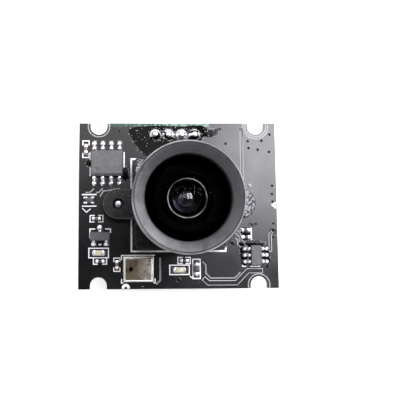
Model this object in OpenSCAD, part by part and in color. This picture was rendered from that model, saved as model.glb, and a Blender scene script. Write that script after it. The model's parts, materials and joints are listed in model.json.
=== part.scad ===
// Camera module: a small circuit board with a wide-angle screw-in lens.
// The origin is the centre of the board's rear face, +Z is the optical axis
// towards the scene, +Y is the connector edge. Units are millimetres.

/* [Board] */
// Board length along X
board_w = 30; // [29:0.1:32]
// Board width along Y
board_d = 25; // [25:0.1:28]
// Board thickness
board_t = 1.2; // [0.8:0.1:1.6]
// Distance of the screw notches from the board's centre, along X and along Y
notch_at = 12; // [11.9:0.05:12.2]
// Radius of the screw notches
notch_r = 1.25; // [1.1:0.05:1.3]

/* [Lens holder] */
// Side of the holder's square foot
foot_side = 13.3; // [12.9:0.1:13.9]
// Height of the square foot
foot_h = 4.2; // [4:0.1:6]
// Centre distance of the two screw ears
ear_pitch = 18; // [17.6:0.1:18.4]
// Radius of an ear
ear_r = 2.2; // [1.9:0.1:2.2]
// Height of an ear
ear_h = 3.5; // [3:0.1:4]
// Outer radius of the round tower
tower_r = 6.6; // [6.55:0.05:6.9]
// Height of the tower above the board
tower_h = 11; // [9:0.1:11.6]

/* [Lens] */
// Major diameter of the lens thread
thread_d = 12; // [12:12]
// Height of the lens rim above the board at rest
lens_top = 19.5; // [19:0.1:21]
// Outer radius of the lens head
head_r = 7.1; // [7:0.05:7.5]
// Radius of the clear front aperture
front_clear_r = 5.6; // [5.2:0.05:5.7]

/* [Connector] */
// Pitch of the wire header's pins
pin_pitch = 2; // [2:2]
// Number of pins
pin_count = 4; // [4:4]

/* [Hidden] */
$fn = 64;

eps = 0.01;              // overshoot of every cutting tool
top = board_t;           // front face of the board

// thicknesses of what lies flat on the board
pad_t = 0.035;
ink_t = 0.02;
trace_t = 0.03;
ink_w = 0.19;            // usual width of a printed line
notch_reach = 4;         // how far the notch's cut runs out over the edge
pin_hole_r = 0.42;       // plated holes of the header's pins
ring_r = 0.88;           // copper rings round them
screw_gap = 0.1;         // clearance of the holder's screws in the board

// holder interior, heights above the board's front face
cavity_side = 10.6;
cavity_h = 2;
window_side = 7;
window_from = 1;
filter_side = 8.3;
filter_seat = 2.8;
filter_t = 0.55;
bore_from = 3.4;
bore_chamfer = 0.3;
thread_r = thread_d / 2 - 0.05;   // running clearance of 0.05 in the holder's bore
foot_corner = 0.6;
edge = 0.2;                       // moulded edge chamfer

// holder screws, put in from the rear
screw_r = 0.8;
screw_sink = 0.7;                 // how far the tip stays below the top of the ear
screw_tip = [0.4, 0.35];          // radius and length of the blunt tip
screw_head = [1.5, 1];            // radius and height
screw_dome = [1.1, 0.25];         // radius and height of the head's rounded end
recess = [1.6, 0.28, 0.6];        // cross recess: span, width, depth

// image sensor under the holder
sensor_size = [6.4, 5.8, 0.45];
cover_size = [6.1, 5.5, 0.4];

// lens, heights above the board's front face
lens_bottom = 5.5;
head_from = lens_top - 6.4;
neck_h = 0.5;
neck_drop = 0.35;                 // how far the neck lies below the thread
thread_lead = 0.3;                // chamfer at the thread's start
flare_h = 1.5;
front_seat = lens_top - 3.3;      // where the front element sits in the head
flange_h = 1.2;                   // edge thickness of the front element
ring_from = lens_top - 1.2;       // where the front ring covers the head
funnel_drop = 0.5;                // how far the ring's face falls towards the glass
rim_w = 0.2;                      // outer rim of the front ring, with a fine groove inside it
rim_edge = 0.12;
groove_w = 0.09;
groove_h = 0.1;
front_bore_r = 6.2;
glass_gap = 0.04;                 // radial clearance of glass in the barrel
mid_r = 4.6;
stop_seat = 12.1;                 // front face of the shoulder between the front and the rear group
stop_t = 0.15;
stop_bore = 1.1;
shoulder_t = 0.5;
shoulder_r = 3.3;
rear_r = 3.9;
rear_seat = 8.2;                  // rear face of the rear element's edge
rear_ring_h = 1.9;
rear_ring_bore = 3.1;
spanner_slot = [0.8, 0.6];        // width and depth of the slots in the rear ring
spacer_h = 1.3;
spacer_bore = 1.85;
collar_r = 2.6;                   // thin collar of the spacer, inside the hollow of the front element
collar_h = 0.8;
collar_wall = 0.1;

// glass faces, radius of curvature
front_curve = 8.4;
front_back_curve = 5.2;
hollow_r = 4.3;                   // rim of the front element's hollow
second_curve = 2.4;
rear_curve = 6;
cap_sink = 0.5;                   // how far a cap runs into the disc that carries it

frame_at = [0, 0];          // printed frame round the lens holder

// places of the components, [x, y]
memory_at = [-10.73, 6.25];
reset_at = [-13.96, 8.49];
choke_at = [-13.42, 0.72];
supply_at = [-12.31, -2.04];
regulator_at = [-11.77, -4.67];
left_led_at = [-11.97, -7.14];
left_res_at = [-11.76, -8.36];
mic_cap_at = [-9.25, -8.88];
mic_at = [-6.04, -9.56];
right_res_at = [0.8, -8.34];
right_led_at = [0.1, -9.7];
bead_at = [2.65, -9.57];
switch_at = [11.5, -7.57];
switch_res_at = [[10.1, -3.84], [10.13, -4.9]];
header_at = [-0.4, 10.7];
controller_at = [0.6, -2.6];
crystal_at = [-6.6, -6.4];
inductor_at = [7.6, -6.6];
rear_caps = [[-4.2, -2.6], [-4.2, -0.8], [5.2, -2.6], [5.2, -0.8], [0.6, 2.4], [3.4, 2.4]];

// packages: length, width, height
chip_0402 = [1, 0.5, 0.45];
chip_0603 = [1.6, 0.8, 0.6];
cap_0402 = 0.25;         // length of an end cap
cap_0603 = 0.32;
memory_body = [4.8, 3.9, 1.5];
memory_lift = 0.1;
memory_lead_t = 0.2;
memory_draft = 0.12;
memory_bevel = 0.25;     // along the long top edge of pin 1
memory_reach = 1.1;      // how far a lead stands out of the body
memory_pitch = 1.27;
sot_lift = 0.08;
sot_lead_t = 0.12;
sot_reach = 0.6;
sot_pitch = 0.95;
lead_w = 0.42;
regulator_body = [2.9, 1.3, 1];
switch_body = [2.9, 1.6, 1.1];
controller_body = [6, 6, 0.85];
crystal_body = [3.2, 2.5, 0.7];
inductor_body = [2.5, 2, 1.1];
mic_body = [4.5, 3.7, 1.1];
mic_port = [-1.12, 0.02, 0.33];   // place and radius of the sound port
mic_port_from = 0.7;              // height of its floor
mic_pad_in = 0.12;                // the pad is smaller than the package
choke_body = [1.25, 1, 0.55];
choke_end = [0.35, 0.26];
choke_end_at = [0.46, 0.38];
led_chip = [1, 0.8, 0.25];
led_end = [0.3, 0.8, 0.28];
led_lens_h = 0.35;
housing_body = [9.9, 4.5, 6];
housing_wall = 0.65;
housing_floor = 1.1;
latch_slot = [1, 5.2, 3];         // width, distance apart, height above the floor of the latch slots
pin_side = 0.5;
pin_rise = 0.85;                  // how far a pin stands out of the board's front
pin_depth = 5;                    // how far it reaches behind the board
joint_r = 0.85;                   // solder cone round a pin
joint_h = 0.75;
flux_t = 0.03;

notches = [for (sx = [-1, 1], sy = [-1, 1]) [sx * notch_at, sy * notch_at]];
pin_x = [for (i = [0 : pin_count - 1]) header_at[0] + (i - (pin_count - 1) / 2) * pin_pitch];

// ---------------------------------------------------------------- helpers

// Rectangle with round corners, centred
module rounded(size, r) {
    square([size[0] - 2 * r, size[1]], center = true);
    square([size[0], size[1] - 2 * r], center = true);
    for (sx = [-1, 1], sy = [-1, 1])
        translate([sx * (size[0] / 2 - r), sy * (size[1] / 2 - r)]) circle(r, $fn = 32);
}

// Box centred in X and Y, standing on Z = 0
module block(size) {
    translate([-size[0] / 2, -size[1] / 2, 0]) cube(size);
}

// Rectangular frame drawn with one line, outer size given
module frame_line(size, w = ink_w) {
    difference() {
        square(size, center = true);
        square([size[0] - 2 * w, size[1] - 2 * w], center = true);
    }
}

// The same frame open in the middle of its long sides: two facing brackets
module brackets(size, gap, w = ink_w) {
    difference() {
        frame_line(size, w);
        if (size[0] > size[1]) square([gap, size[1] + 1], center = true);
        else square([size[0] + 1, gap], center = true);
    }
}

// Unit direction of one leg, its left normal, and the mitred offset of a corner
function unit(a, b) = (b - a) / norm(b - a);
function left_of(d) = [-d[1], d[0]];
function side_point(p, i, h) =
    let (n = len(p) - 1,
         d0 = i == 0 ? unit(p[0], p[1]) : unit(p[i - 1], p[i]),
         d1 = i == n ? d0 : unit(p[i], p[i + 1]),
         m = left_of(d0) + left_of(d1))
    p[i] + m * (2 * h / (m * m));

// Outline of a line of width w through the points p
function trace_outline(p, w) = concat(
    [for (i = [0 : len(p) - 1]) side_point(p, i, w / 2)],
    [for (i = [len(p) - 1 : -1 : 0]) side_point(p, i, -w / 2)]);

module trace(p, w) {
    polygon(trace_outline(p, w));
}

// Smooth closed curve through the points p: Catmull-Rom, n steps a span
function smooth_at(a, b, c, d, t) = 0.5 * (2 * b + (c - a) * t
    + (2 * a - 5 * b + 4 * c - d) * t * t + (3 * b - a - 3 * c + d) * t * t * t);
function smooth_loop(p, n) = let (k = len(p)) [
    for (i = [0 : k - 1], j = [0 : n - 1])
        smooth_at(p[(i + k - 1) % k], p[i], p[(i + 1) % k], p[(i + 2) % k], j / n)];

// Moulded chip body, length along X: its long sides are drafted above and below
// a flat band, where leads of thickness t come out
function lead_height(size, lift) = lift + (size[2] - lift) / 2;
module drafted_body(size, lift, draft, t) {
    l = size[0];
    w = size[1] / 2;
    low = lead_height(size, lift) - t / 2;
    high = low + t;
    translate([-l / 2, 0, 0]) rotate([90, 0, 90]) linear_extrude(l)
        polygon([[-w + draft, lift], [w - draft, lift], [w, low], [w, high], [w - draft, size[2]],
                 [-w + draft, size[2]], [-w, high], [-w, low]]);
}

// Gull-wing lead leaving along +Y from y = 0 at height z, with its foot on Z = 0
module gull_lead(width, reach, foot, z, t) {
    knee = reach - foot;
    translate([-width / 2, 0, 0]) rotate([90, 0, 90]) linear_extrude(width)
        polygon([[0, z + t / 2], [knee * 0.55, z + t / 2], [knee + t, t], [reach, t],
                 [reach, 0], [knee, 0], [knee * 0.55 - t * 0.6, z - t / 2], [0, z - t / 2]]);
}

// Solder between the end of a foot at X = 0 and the end of its pad, along +X
module solder_toe(w, l, h) {
    translate([0, w / 2, 0]) rotate([90, 0, 0]) linear_extrude(w)
        polygon([[0, -eps], [l, -eps], [l, 0], [l * 0.6, h * 0.28], [l * 0.25, h * 0.72], [0, h]]);
}

// Ceramic middle of a two-terminal chip, length along X, and its two end caps
module chip_middle(size, cap) {
    block([size[0] - 2 * cap, size[1] - 0.04, size[2] - 0.04]);
}
module chip_caps(size, cap) {
    for (s = [-1, 1]) translate([s * (size[0] - cap) / 2, 0, 0]) block([cap, size[1], size[2]]);
}

module at_front(xy, turn = 0) {
    translate([xy[0], xy[1], top + pad_t]) rotate(turn) children();
}
// Mounts its children upside down on the rear face, X kept
module at_rear(xy, turn = 0) {
    translate([xy[0], xy[1], 0]) rotate([180, 0, 0]) rotate(turn) children();
}

// ---------------------------------------------------------------- board

// Rectangle with a round-ended screw notch open to the long edge at each corner
module board_outline() {
    difference() {
        square([board_w, board_d], center = true);
        for (p = notches) {
            translate(p) circle(notch_r);
            translate([p[0], p[1] + sign(p[1]) * notch_reach / 2])
                square([2 * notch_r, notch_reach], center = true);
        }
    }
}

module circuit_board() {
    color("#1d1c20") difference() {
        linear_extrude(board_t) board_outline();
        for (x = pin_x) translate([x, header_at[1], -1]) cylinder(h = board_t + 2, r = pin_hole_r);
        for (s = [-1, 1]) translate([s * ear_pitch / 2, 0, -1])
            cylinder(h = board_t + 2, r = screw_r + screw_gap);
    }
}

// Copper tracks that stand proud under the lacquer, [points, width]
traces = [
    [[[9.82, 11.6], [9.82, 3.2], [8.6, 2.6]], 0.45],
    [[[3.66, -10.95], [4.45, -11.66], [8.6, -11.66], [10.35, -9.91], [12.6, -9.91]], 0.7],
    [[[3.53, -8.49], [4.05, -9.02], [4.05, -10.25], [4.75, -10.95], [8.4, -10.95], [9.2, -10.15]], 0.16],
    [[[14.2, -4.15], [13.85, -4.5], [13.85, -6], [13.85, -7.1]], 0.45],
    [[[8.9, -3.9], [9.5, -4.5], [9.5, -5.3], [9.9, -5.7]], 0.16],
    [[[8.6, -4.3], [9.2, -4.9], [9.2, -5.5], [9.7, -6]], 0.16],
    [[[8.6, -5], [8.9, -5.3], [8.9, -5.9], [9.4, -6.4]], 0.16],
    [[[-12.7, 2.5], [-13.3, 1.9], [-13.95, 1.9]], 0.16],
    [[[-11.4, 2.5], [-12, 1.9], [-12.4, 1.9]], 0.16],
    [[[-8.8, 2.5], [-9, 2.42], [-11.3, 2.1], [-11.8, 1.3]], 0.16],
    [[[-2.79, -7.9], [-2.79, -11.2], [-3.37, -11.78]], 0.2]
];

// Tracks on the rear: the header's wires, the crystal and the small capacitors
rear_traces = [
    [[[-3.3, 7.9], [-3.3, 3.2], [-1.2, 1.1], [-1.2, 0.7]], 0.25],
    [[[-1.3, 7.9], [-1.3, 4.2], [-0.6, 3.5], [-0.6, 0.7]], 0.2],
    [[[0.7, 7.9], [0.7, 5], [1.9, 3.8], [1.9, 0.7]], 0.2],
    [[[2.7, 7.9], [2.7, 5.1], [6.9, 0.9], [6.9, -5.45]], 0.4],
    [[[-4.9, -5.9], [-3.8, -4.8], [-2.7, -4.8]], 0.16],
    [[[-4.9, -6.9], [-3.4, -5.4], [-2.7, -5.4]], 0.16],
    [[[-3.85, -2.95], [-2.7, -2.95]], 0.2],
    [[[-3.85, -1.15], [-2.7, -1.15]], 0.2],
    [[[4.85, -2.95], [3.9, -2.95]], 0.2],
    [[[4.85, -1.15], [3.9, -1.15]], 0.2],
    [[[0.6, 1.85], [0.6, 0.7]], 0.2],
    [[[3.4, 1.85], [3.4, 1.7], [2.6, 0.9], [2.6, 0.7]], 0.2]
];

// Rims of the copper lands round the screw notches: signs of the notch's place, radius
land_rims = [[[-1, 1], 1.62], [[1, 1], 1.62], [[1, 1], 1.95], [[1, -1], 1.62]];
land_rim_w = 0.14;

module covered_traces() {
    color("#232228") {
        translate([0, 0, top]) linear_extrude(trace_t) difference() {
            trace_lines(traces);
            pad_shapes();
        }
        translate([0, 0, top]) linear_extrude(trace_t) land_rim_lines();
        translate([0, 0, -trace_t]) linear_extrude(trace_t) trace_lines(rear_traces);
    }
}
module trace_lines(list) {
    for (t = list) trace(t[0], t[1]);
}
module land_rim_lines() {
    for (rim = land_rims) difference() {
        translate(notch_at * rim[0]) circle(rim[1] + land_rim_w / 2);
        translate(notch_at * rim[0]) circle(rim[1] - land_rim_w / 2);
        translate([rim[0][0] * notch_at, rim[0][1] * (board_d / 2 + notch_reach)])
            square(2 * notch_reach, center = true);
    }
}

// Bare tinned pads, [centre, size]
function pad_pair(at, l, w, gap) = [for (s = [-1, 1]) [[at[0] + s * (gap + l) / 2, at[1]], [l, w]]];
function pad_pair_y(at, l, w, gap) = [for (s = [-1, 1]) [[at[0], at[1] + s * (gap + l) / 2], [w, l]]];
pads = concat(
    [for (i = [0 : 3], s = [-1, 1]) [memory_at + [(i - 1.5) * memory_pitch, s * 2.75], [0.66, 1.6]]],
    [[regulator_at + [0, 1.2], [1, 1.1]]],
    [for (s = [-1, 1]) [regulator_at + [s * sot_pitch, -1.1], [0.9, 0.8]]],
    [for (i = [-1 : 1], s = [-1, 1]) [switch_at + [s * 1.45, i * sot_pitch], [1.05, 0.6]]],
    [for (sx = [-1, 1], sy = [-1, 1]) [choke_at + [sx * 0.53, sy * 0.43], [0.5, 0.42]]],
    pad_pair_y(reset_at, 0.6, 0.55, 0.5),
    pad_pair(supply_at, 0.6, 0.55, 0.5),
    pad_pair(left_res_at, 0.6, 0.55, 0.5),
    pad_pair_y(mic_cap_at, 0.6, 0.55, 0.5),
    pad_pair(right_res_at, 0.6, 0.55, 0.5),
    [for (p = switch_res_at, q = pad_pair(p, 0.55, 0.55, 0.5)) q],
    pad_pair(left_led_at, 0.8, 0.85, 1),
    pad_pair(right_led_at, 0.8, 0.85, 1),
    pad_pair_y(bead_at, 0.8, 0.85, 1),
    [[mic_at, [mic_body[0] - mic_pad_in, mic_body[1] - mic_pad_in]]]
);

// Solder toes: [end of the foot, direction in degrees, [width, length, height]]
function end_toes(at, half, size, turn = 0) =
    [for (a = [turn, turn + 180]) [at + half * [cos(a), sin(a)], a, size]];
memory_toe = [0.6, 0.45, 0.18];
sot_toe = [0.5, 0.45, 0.11];
short_sot_toe = [0.8, 0.24, 0.11];
choke_toe = [choke_end[1], 0.14, 0.35];
toe_0402 = [0.48, 0.16, 0.3];
toe_0603 = [0.72, 0.2, 0.4];
led_toe = [0.72, 0.2, 0.2];
toes = concat(
    [for (i = [0 : 3]) for (t = end_toes(memory_at + [(i - 1.5) * memory_pitch, 0],
        memory_body[1] / 2 + memory_reach, memory_toe, 90)) t],
    [[regulator_at + [0, regulator_body[1] / 2 + sot_reach], 90, sot_toe]],
    [for (s = [-1, 1])
        [regulator_at + [s * sot_pitch, -regulator_body[1] / 2 - sot_reach], -90, short_sot_toe]],
    [for (i = [-1 : 1]) for (t = end_toes(switch_at + [0, i * sot_pitch],
        switch_body[1] / 2 + sot_reach, sot_toe)) t],
    [for (sx = [-1, 1], sy = [-1, 1])
        [choke_at + [sx * (choke_end_at[0] + choke_end[0] / 2), sy * choke_end_at[1]],
         sx < 0 ? 180 : 0, choke_toe]],
    end_toes(reset_at, chip_0402[0] / 2, toe_0402, 90),
    end_toes(supply_at, chip_0402[0] / 2, toe_0402),
    end_toes(left_res_at, chip_0402[0] / 2, toe_0402),
    end_toes(mic_cap_at, chip_0402[0] / 2, toe_0402, 90),
    end_toes(right_res_at, chip_0402[0] / 2, toe_0402),
    [for (p = switch_res_at) for (t = end_toes(p, chip_0402[0] / 2, toe_0402)) t],
    end_toes(left_led_at, led_chip[0] / 2 + led_end[0], led_toe),
    end_toes(right_led_at, led_chip[0] / 2 + led_end[0], led_toe),
    end_toes(bead_at, chip_0603[0] / 2, toe_0603, 90)
);

module pad_shapes() {
    for (p = pads) translate(p[0]) square(p[1], center = true);
}

// Pads of the chips with the solder before each foot, and the rings round the header's pins
module solder_pads() {
    color("#d8d8dc") {
        translate([0, 0, top]) linear_extrude(pad_t) pad_shapes();
        for (t = toes) at_front(t[0], t[1]) solder_toe(t[2][0], t[2][1], t[2][2]);
        for (x = pin_x) translate([x, header_at[1], top]) difference() {
            cylinder(h = pad_t, r = ring_r);
            translate([0, 0, -1]) cylinder(h = 2, r = pin_hole_r);
        }
    }
}

// White printed lines. They keep clear of the holder's ears.
module silkscreen_lines() {
    difference() {
        translate(frame_at) frame_line([14.4, 14.15], 0.25);
        square([16, 2 * ear_r + 0.1], center = true);
    }
    for (y = [7.43, 5.03]) translate([memory_at[0] - 2.57, y]) square([0.18, 1.3], center = true);
    translate([memory_at[0] + 2.57, 6.78]) square([0.18, 2.55], center = true);
    translate(reset_at) brackets([1.1, 2.7], 1.15, 0.16);
    for (s = [-1, 1]) translate(choke_at + [0, s * 0.87]) square([2.2, 0.18], center = true);
    trace([[-14.45, -0.45], [-13.82, -1.07], [-13.2, -0.55]], 0.12);
    translate(supply_at) brackets([2.08, 1.12], 0.5, 0.16);
    trace([[-12.5, -3.58], [-13.28, -3.58], [-13.28, -4.95]], 0.2);
    trace([[-11, -3.58], [-10.22, -3.58], [-10.22, -4.15]], 0.2);
    translate(regulator_at + [0, -1.23]) square([0.41, 0.21], center = true);
    translate(left_led_at) frame_line([3.08, 1.56], 0.16);
    trace([[-12.1, -8.79], [-12.73, -8.79], [-12.73, -7.85]], 0.16);
    trace([[-11.43, -8.79], [-10.79, -8.79], [-10.79, -7.85]], 0.16);
    translate(mic_cap_at) brackets([1.06, 2.1], 0.8, 0.15);
    translate(right_res_at) brackets([2.02, 1.08], 0.4, 0.16);
    translate(right_led_at) frame_line([3.08, 1.54], 0.16);
    translate(bead_at) frame_line([1.26, 3], 0.16);
    trace([[1.62, -10.6], [1.92, -10.9]], 0.13);
    trace([[-8.56, -8.2], [-8.56, -7.52], [-3.55, -7.52]], 0.15);
    trace([[-8.56, -10.95], [-8.56, -11.58], [-8.3, -11.58]], 0.15);
    trace([[-3.55, -10.95], [-3.55, -11.58], [-3.8, -11.58]], 0.15);
    trace([[11.02, -3.4], [11.02, -5.35]], 0.16);
    trace([[10.69, -9.26], [12.22, -9.26]], 0.16);
    trace([[9.5, -9.15], [9.75, -9.25], [10.1, -9.25]], 0.14);
    translate([-7.92, -12.3]) difference() {
        circle(0.6, $fn = 32);
        circle(0.2, $fn = 32);
        translate([-1, -2.1]) square([2, 2]);
    }
}

module silkscreen_print() {
    color("#eeeeee") translate([0, 0, top]) linear_extrude(ink_t) difference() {
        silkscreen_lines();
        pad_shapes();
        trace_lines(traces);
    }
}

// ---------------------------------------------------------------- lens holder

module ear() {
    translate([ear_pitch / 2, 0, 0]) {
        cylinder(h = ear_h - edge, r = ear_r);
        translate([0, 0, ear_h - edge]) cylinder(h = edge, r1 = ear_r, r2 = ear_r - edge);
    }
    rotate([90, 0, 90]) linear_extrude(ear_pitch / 2)
        polygon([[-ear_r, 0], [ear_r, 0], [ear_r, ear_h - edge], [ear_r - edge, ear_h],
                 [edge - ear_r, ear_h], [-ear_r, ear_h - edge]]);
}

module lens_holder() {
    color("#17171a") translate([0, 0, top]) difference() {
        union() {
            linear_extrude(foot_h - edge) rounded([foot_side, foot_side], foot_corner);
            translate([0, 0, foot_h - edge]) linear_extrude(edge)
                rounded([foot_side - 2 * edge, foot_side - 2 * edge], foot_corner);
            for (turn = [0, 180]) rotate(turn) ear();
            cylinder(h = tower_h - edge, r = tower_r);
            translate([0, 0, tower_h - edge]) cylinder(h = edge, r1 = tower_r, r2 = tower_r - edge);
        }
        translate([0, 0, -eps]) linear_extrude(cavity_h + eps) rounded([cavity_side, cavity_side], 0.5);
        translate([0, 0, window_from]) linear_extrude(bore_from) square(window_side, center = true);
        translate([0, 0, filter_seat]) linear_extrude(2) square(filter_side + 0.1, center = true);
        translate([0, 0, bore_from]) cylinder(h = tower_h, r = thread_d / 2);
        translate([0, 0, tower_h - bore_chamfer])
            cylinder(h = bore_chamfer + eps, r1 = thread_d / 2, r2 = thread_d / 2 + bore_chamfer);
        for (s = [-1, 1]) translate([s * ear_pitch / 2, 0, -1]) cylinder(h = ear_h + 2, r = screw_r);
    }
}

// Self-tapping screws put in from the rear: pan head, cross recess, blunt tip
module holder_screws() {
    tip = top + ear_h - screw_sink;
    crown = -screw_head[1] - screw_dome[1];
    color("#c9cacd") for (s = [-1, 1]) translate([s * ear_pitch / 2, 0, 0]) difference() {
        union() {
            translate([0, 0, -screw_head[1]]) cylinder(h = screw_head[1], r = screw_head[0]);
            translate([0, 0, crown]) cylinder(h = screw_dome[1], r1 = screw_dome[0], r2 = screw_head[0]);
            cylinder(h = tip, r = screw_r);
            translate([0, 0, tip]) cylinder(h = screw_tip[1], r1 = screw_r, r2 = screw_tip[0]);
        }
        for (turn = [0, 90]) translate([0, 0, crown - eps]) rotate(turn)
            block([recess[0], recess[1], recess[2] + eps]);
    }
}

module infrared_filter() {
    color("#7a8fa8") translate([0, 0, top + filter_seat]) block([filter_side, filter_side, filter_t]);
}

module image_sensor() {
    color("#2d2f33") translate([0, 0, top]) block(sensor_size);
}

module sensor_cover_glass() {
    color("#5f6f74") translate([0, 0, top + sensor_size[2]]) block(cover_size);
}

// ---------------------------------------------------------------- lens

// Turned barrel: thread, neck and flared head. It is bored in two steps from the
// front and once from the rear, with a shoulder left between the two groups.
module lens_barrel() {
    neck_r = thread_r - neck_drop;
    outer = [[rear_r, lens_bottom], [thread_r - thread_lead, lens_bottom],
             [thread_r, lens_bottom + thread_lead], [thread_r, head_from - neck_h],
             [neck_r, head_from - neck_h], [neck_r, head_from], [thread_r + neck_drop, head_from],
             [head_r, head_from + flare_h], [head_r, ring_from]];
    inner = [[front_bore_r, ring_from], [front_bore_r, front_seat], [mid_r, front_seat],
             [mid_r, stop_seat], [shoulder_r, stop_seat], [shoulder_r, stop_seat - shoulder_t],
             [rear_r, stop_seat - shoulder_t]];
    color("#26262a") translate([0, 0, top]) rotate_extrude($fn = 128) polygon(concat(outer, inner));
}

// Ring that holds the front element: a spigot in the head's bore, a flange over
// the head, a fine groove inside its rim, and a face that falls like a funnel
// towards the glass
module front_retaining_ring() {
    lip_r = front_clear_r - 0.12;
    lip_z = lens_top - funnel_drop;
    groove_r = head_r - rim_w - groove_w;
    color("#2a2a2e") translate([0, 0, top]) rotate_extrude($fn = 128)
        polygon([[lip_r, front_seat + flange_h], [front_bore_r, front_seat + flange_h],
                 [front_bore_r, ring_from], [head_r, ring_from], [head_r, lens_top - rim_edge],
                 [head_r - rim_edge, lens_top], [head_r - rim_w, lens_top],
                 [head_r - rim_w, lens_top - groove_h], [groove_r, lens_top - groove_h],
                 [groove_r, lens_top - 0.02], [front_clear_r, lip_z], [lip_r, lip_z - 0.15]]);
}

// Cylindrical edge of a lens: r is its radius, z0 to z1 its height
module lens_edge(r, z0, z1) {
    translate([0, 0, z0]) cylinder(h = z1 - z0, r = r);
}

// Spherical cap with its rim of radius r at height z, bulging up (side 1) or down (side -1)
module lens_cap(r, z, curve, side) {
    intersection() {
        translate([0, 0, z - side * sqrt(curve * curve - r * r)]) sphere(curve, $fn = 128);
        translate([0, 0, side > 0 ? z - cap_sink : z - curve]) cylinder(h = curve + cap_sink, r = r);
    }
}

module front_element() {
    z1 = front_seat + flange_h;
    color("#0c0d12") translate([0, 0, top]) difference() {
        union() {
            lens_edge(front_bore_r - glass_gap, front_seat, z1);
            lens_cap(front_clear_r - 0.2, z1, front_curve, 1);
        }
        translate([0, 0, front_seat - sqrt(front_back_curve * front_back_curve - hollow_r * hollow_r)])
            sphere(front_back_curve, $fn = 128);
    }
}

// Black spacer between the first two elements: a conical mouth for the second
// one, and a thin collar that stands in the hollow of the first
module front_spacer() {
    r = mid_r - glass_gap;
    z0 = front_seat - spacer_h;
    tip = front_seat + collar_h;
    outer = collar_r + collar_wall;
    color("#111114") translate([0, 0, top]) rotate_extrude($fn = 96)
        polygon([[spacer_bore, z0], [r, z0], [r, front_seat], [outer + 0.7, front_seat],
                 [outer + 0.08, tip - 0.08], [outer, tip], [collar_r, tip], [collar_r - 0.06, tip - 0.08],
                 [collar_r - 0.3, front_seat - 0.5], [spacer_bore + 0.08, z0 + 0.45], [spacer_bore, z0 + 0.4]]);
}

module second_element() {
    z1 = front_seat - spacer_h;
    color("#10141a") translate([0, 0, top]) {
        lens_edge(mid_r - glass_gap, stop_seat + stop_t, z1);
        lens_cap(spacer_bore - 0.05, z1, second_curve, 1);
    }
}

module aperture_stop() {
    color("#0a0a0a") translate([0, 0, top + stop_seat]) difference() {
        cylinder(h = stop_t, r = mid_r - glass_gap);
        translate([0, 0, -1]) cylinder(h = 2, r = stop_bore);
    }
}

module rear_element() {
    color("#141a22") translate([0, 0, top]) {
        lens_edge(rear_r - glass_gap, rear_seat, stop_seat - shoulder_t);
        lens_cap(rear_ring_bore - 0.1, rear_seat, rear_curve, -1);
    }
}

// Ring screwed in behind the rear element, with two slots for a spanner
module rear_retaining_ring() {
    color("#1c1c1f") translate([0, 0, top + rear_seat - rear_ring_h]) difference() {
        cylinder(h = rear_ring_h, r = rear_r - glass_gap);
        translate([0, 0, -1]) cylinder(h = 4, r = rear_ring_bore);
        translate([0, 0, -eps]) block([2 * rear_r, spanner_slot[0], spanner_slot[1] + eps]);
    }
}

// ---------------------------------------------------------------- front parts

module memory_chip() {
    color("#3c3c40") at_front(memory_at) difference() {
        intersection() {
            drafted_body(memory_body, memory_lift, memory_draft, memory_lead_t);
            rotate(90) drafted_body([memory_body[1], memory_body[0], memory_body[2]], memory_lift,
                memory_draft, memory_lead_t);
        }
        translate([0, memory_draft - memory_body[1] / 2, memory_body[2]]) rotate([45, 0, 0])
            cube([memory_body[0] + 1, memory_bevel * sqrt(2), memory_bevel * sqrt(2)], center = true);
        translate([-1.6, -1, memory_body[2] - 0.06]) cylinder(h = 1, r = 0.32);
    }
}

module memory_chip_leads() {
    color("#d8d8dc") at_front(memory_at) for (i = [0 : 3], turn = [0, 180])
        rotate(turn) translate([(i - 1.5) * memory_pitch, memory_body[1] / 2, 0])
            gull_lead(lead_w, memory_reach, 0.5, lead_height(memory_body, memory_lift), memory_lead_t);
}

module regulator() {
    color("#2b2b2e") at_front(regulator_at) drafted_body(regulator_body, sot_lift, 0.08, sot_lead_t);
}

module regulator_leads() {
    mid = lead_height(regulator_body, sot_lift);
    color("#d8d8dc") at_front(regulator_at) {
        translate([0, regulator_body[1] / 2, 0]) gull_lead(lead_w, sot_reach, 0.3, mid, sot_lead_t);
        for (s = [-1, 1]) translate([s * sot_pitch, -regulator_body[1] / 2, 0]) rotate(180)
            gull_lead(lead_w, sot_reach, 0.3, mid, sot_lead_t);
    }
}

module power_switch() {
    color("#3a3b3e") at_front(switch_at, 90) drafted_body(switch_body, sot_lift, 0.08, sot_lead_t);
}

module power_switch_leads() {
    mid = lead_height(switch_body, sot_lift);
    color("#d8d8dc") at_front(switch_at, 90) for (i = [-1 : 1], turn = [0, 180])
        rotate(turn) translate([i * sot_pitch, switch_body[1] / 2, 0])
            gull_lead(lead_w, sot_reach, 0.3, mid, sot_lead_t);
}

module microphone_base() {
    color("#8d7a45") at_front(mic_at) block([mic_body[0], mic_body[1], 0.3]);
}

// Drawn metal can with rounded corners, a rounded top edge and the sound port
module microphone_can() {
    l = mic_body[0] - 0.3;
    w = mic_body[1] - 0.3;
    color("#a99f84") at_front(mic_at) difference() {
        translate([0, 0, 0.3]) hull() {
            linear_extrude(mic_body[2] - 0.45) rounded([l, w], 0.35);
            linear_extrude(mic_body[2] - 0.3) rounded([l - 0.24, w - 0.24], 0.25);
        }
        translate([mic_port[0], mic_port[1], mic_port_from]) cylinder(h = 1, r = mic_port[2], $fn = 48);
    }
}

module usb_choke() {
    color("#3a3634") at_front(choke_at) difference() {
        block(choke_body);
        for (sx = [-1, 1], sy = [-1, 1])
            translate([sx * choke_end_at[0], sy * choke_end_at[1], -1]) block([choke_end[0], choke_end[1], 3]);
    }
}

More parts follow.
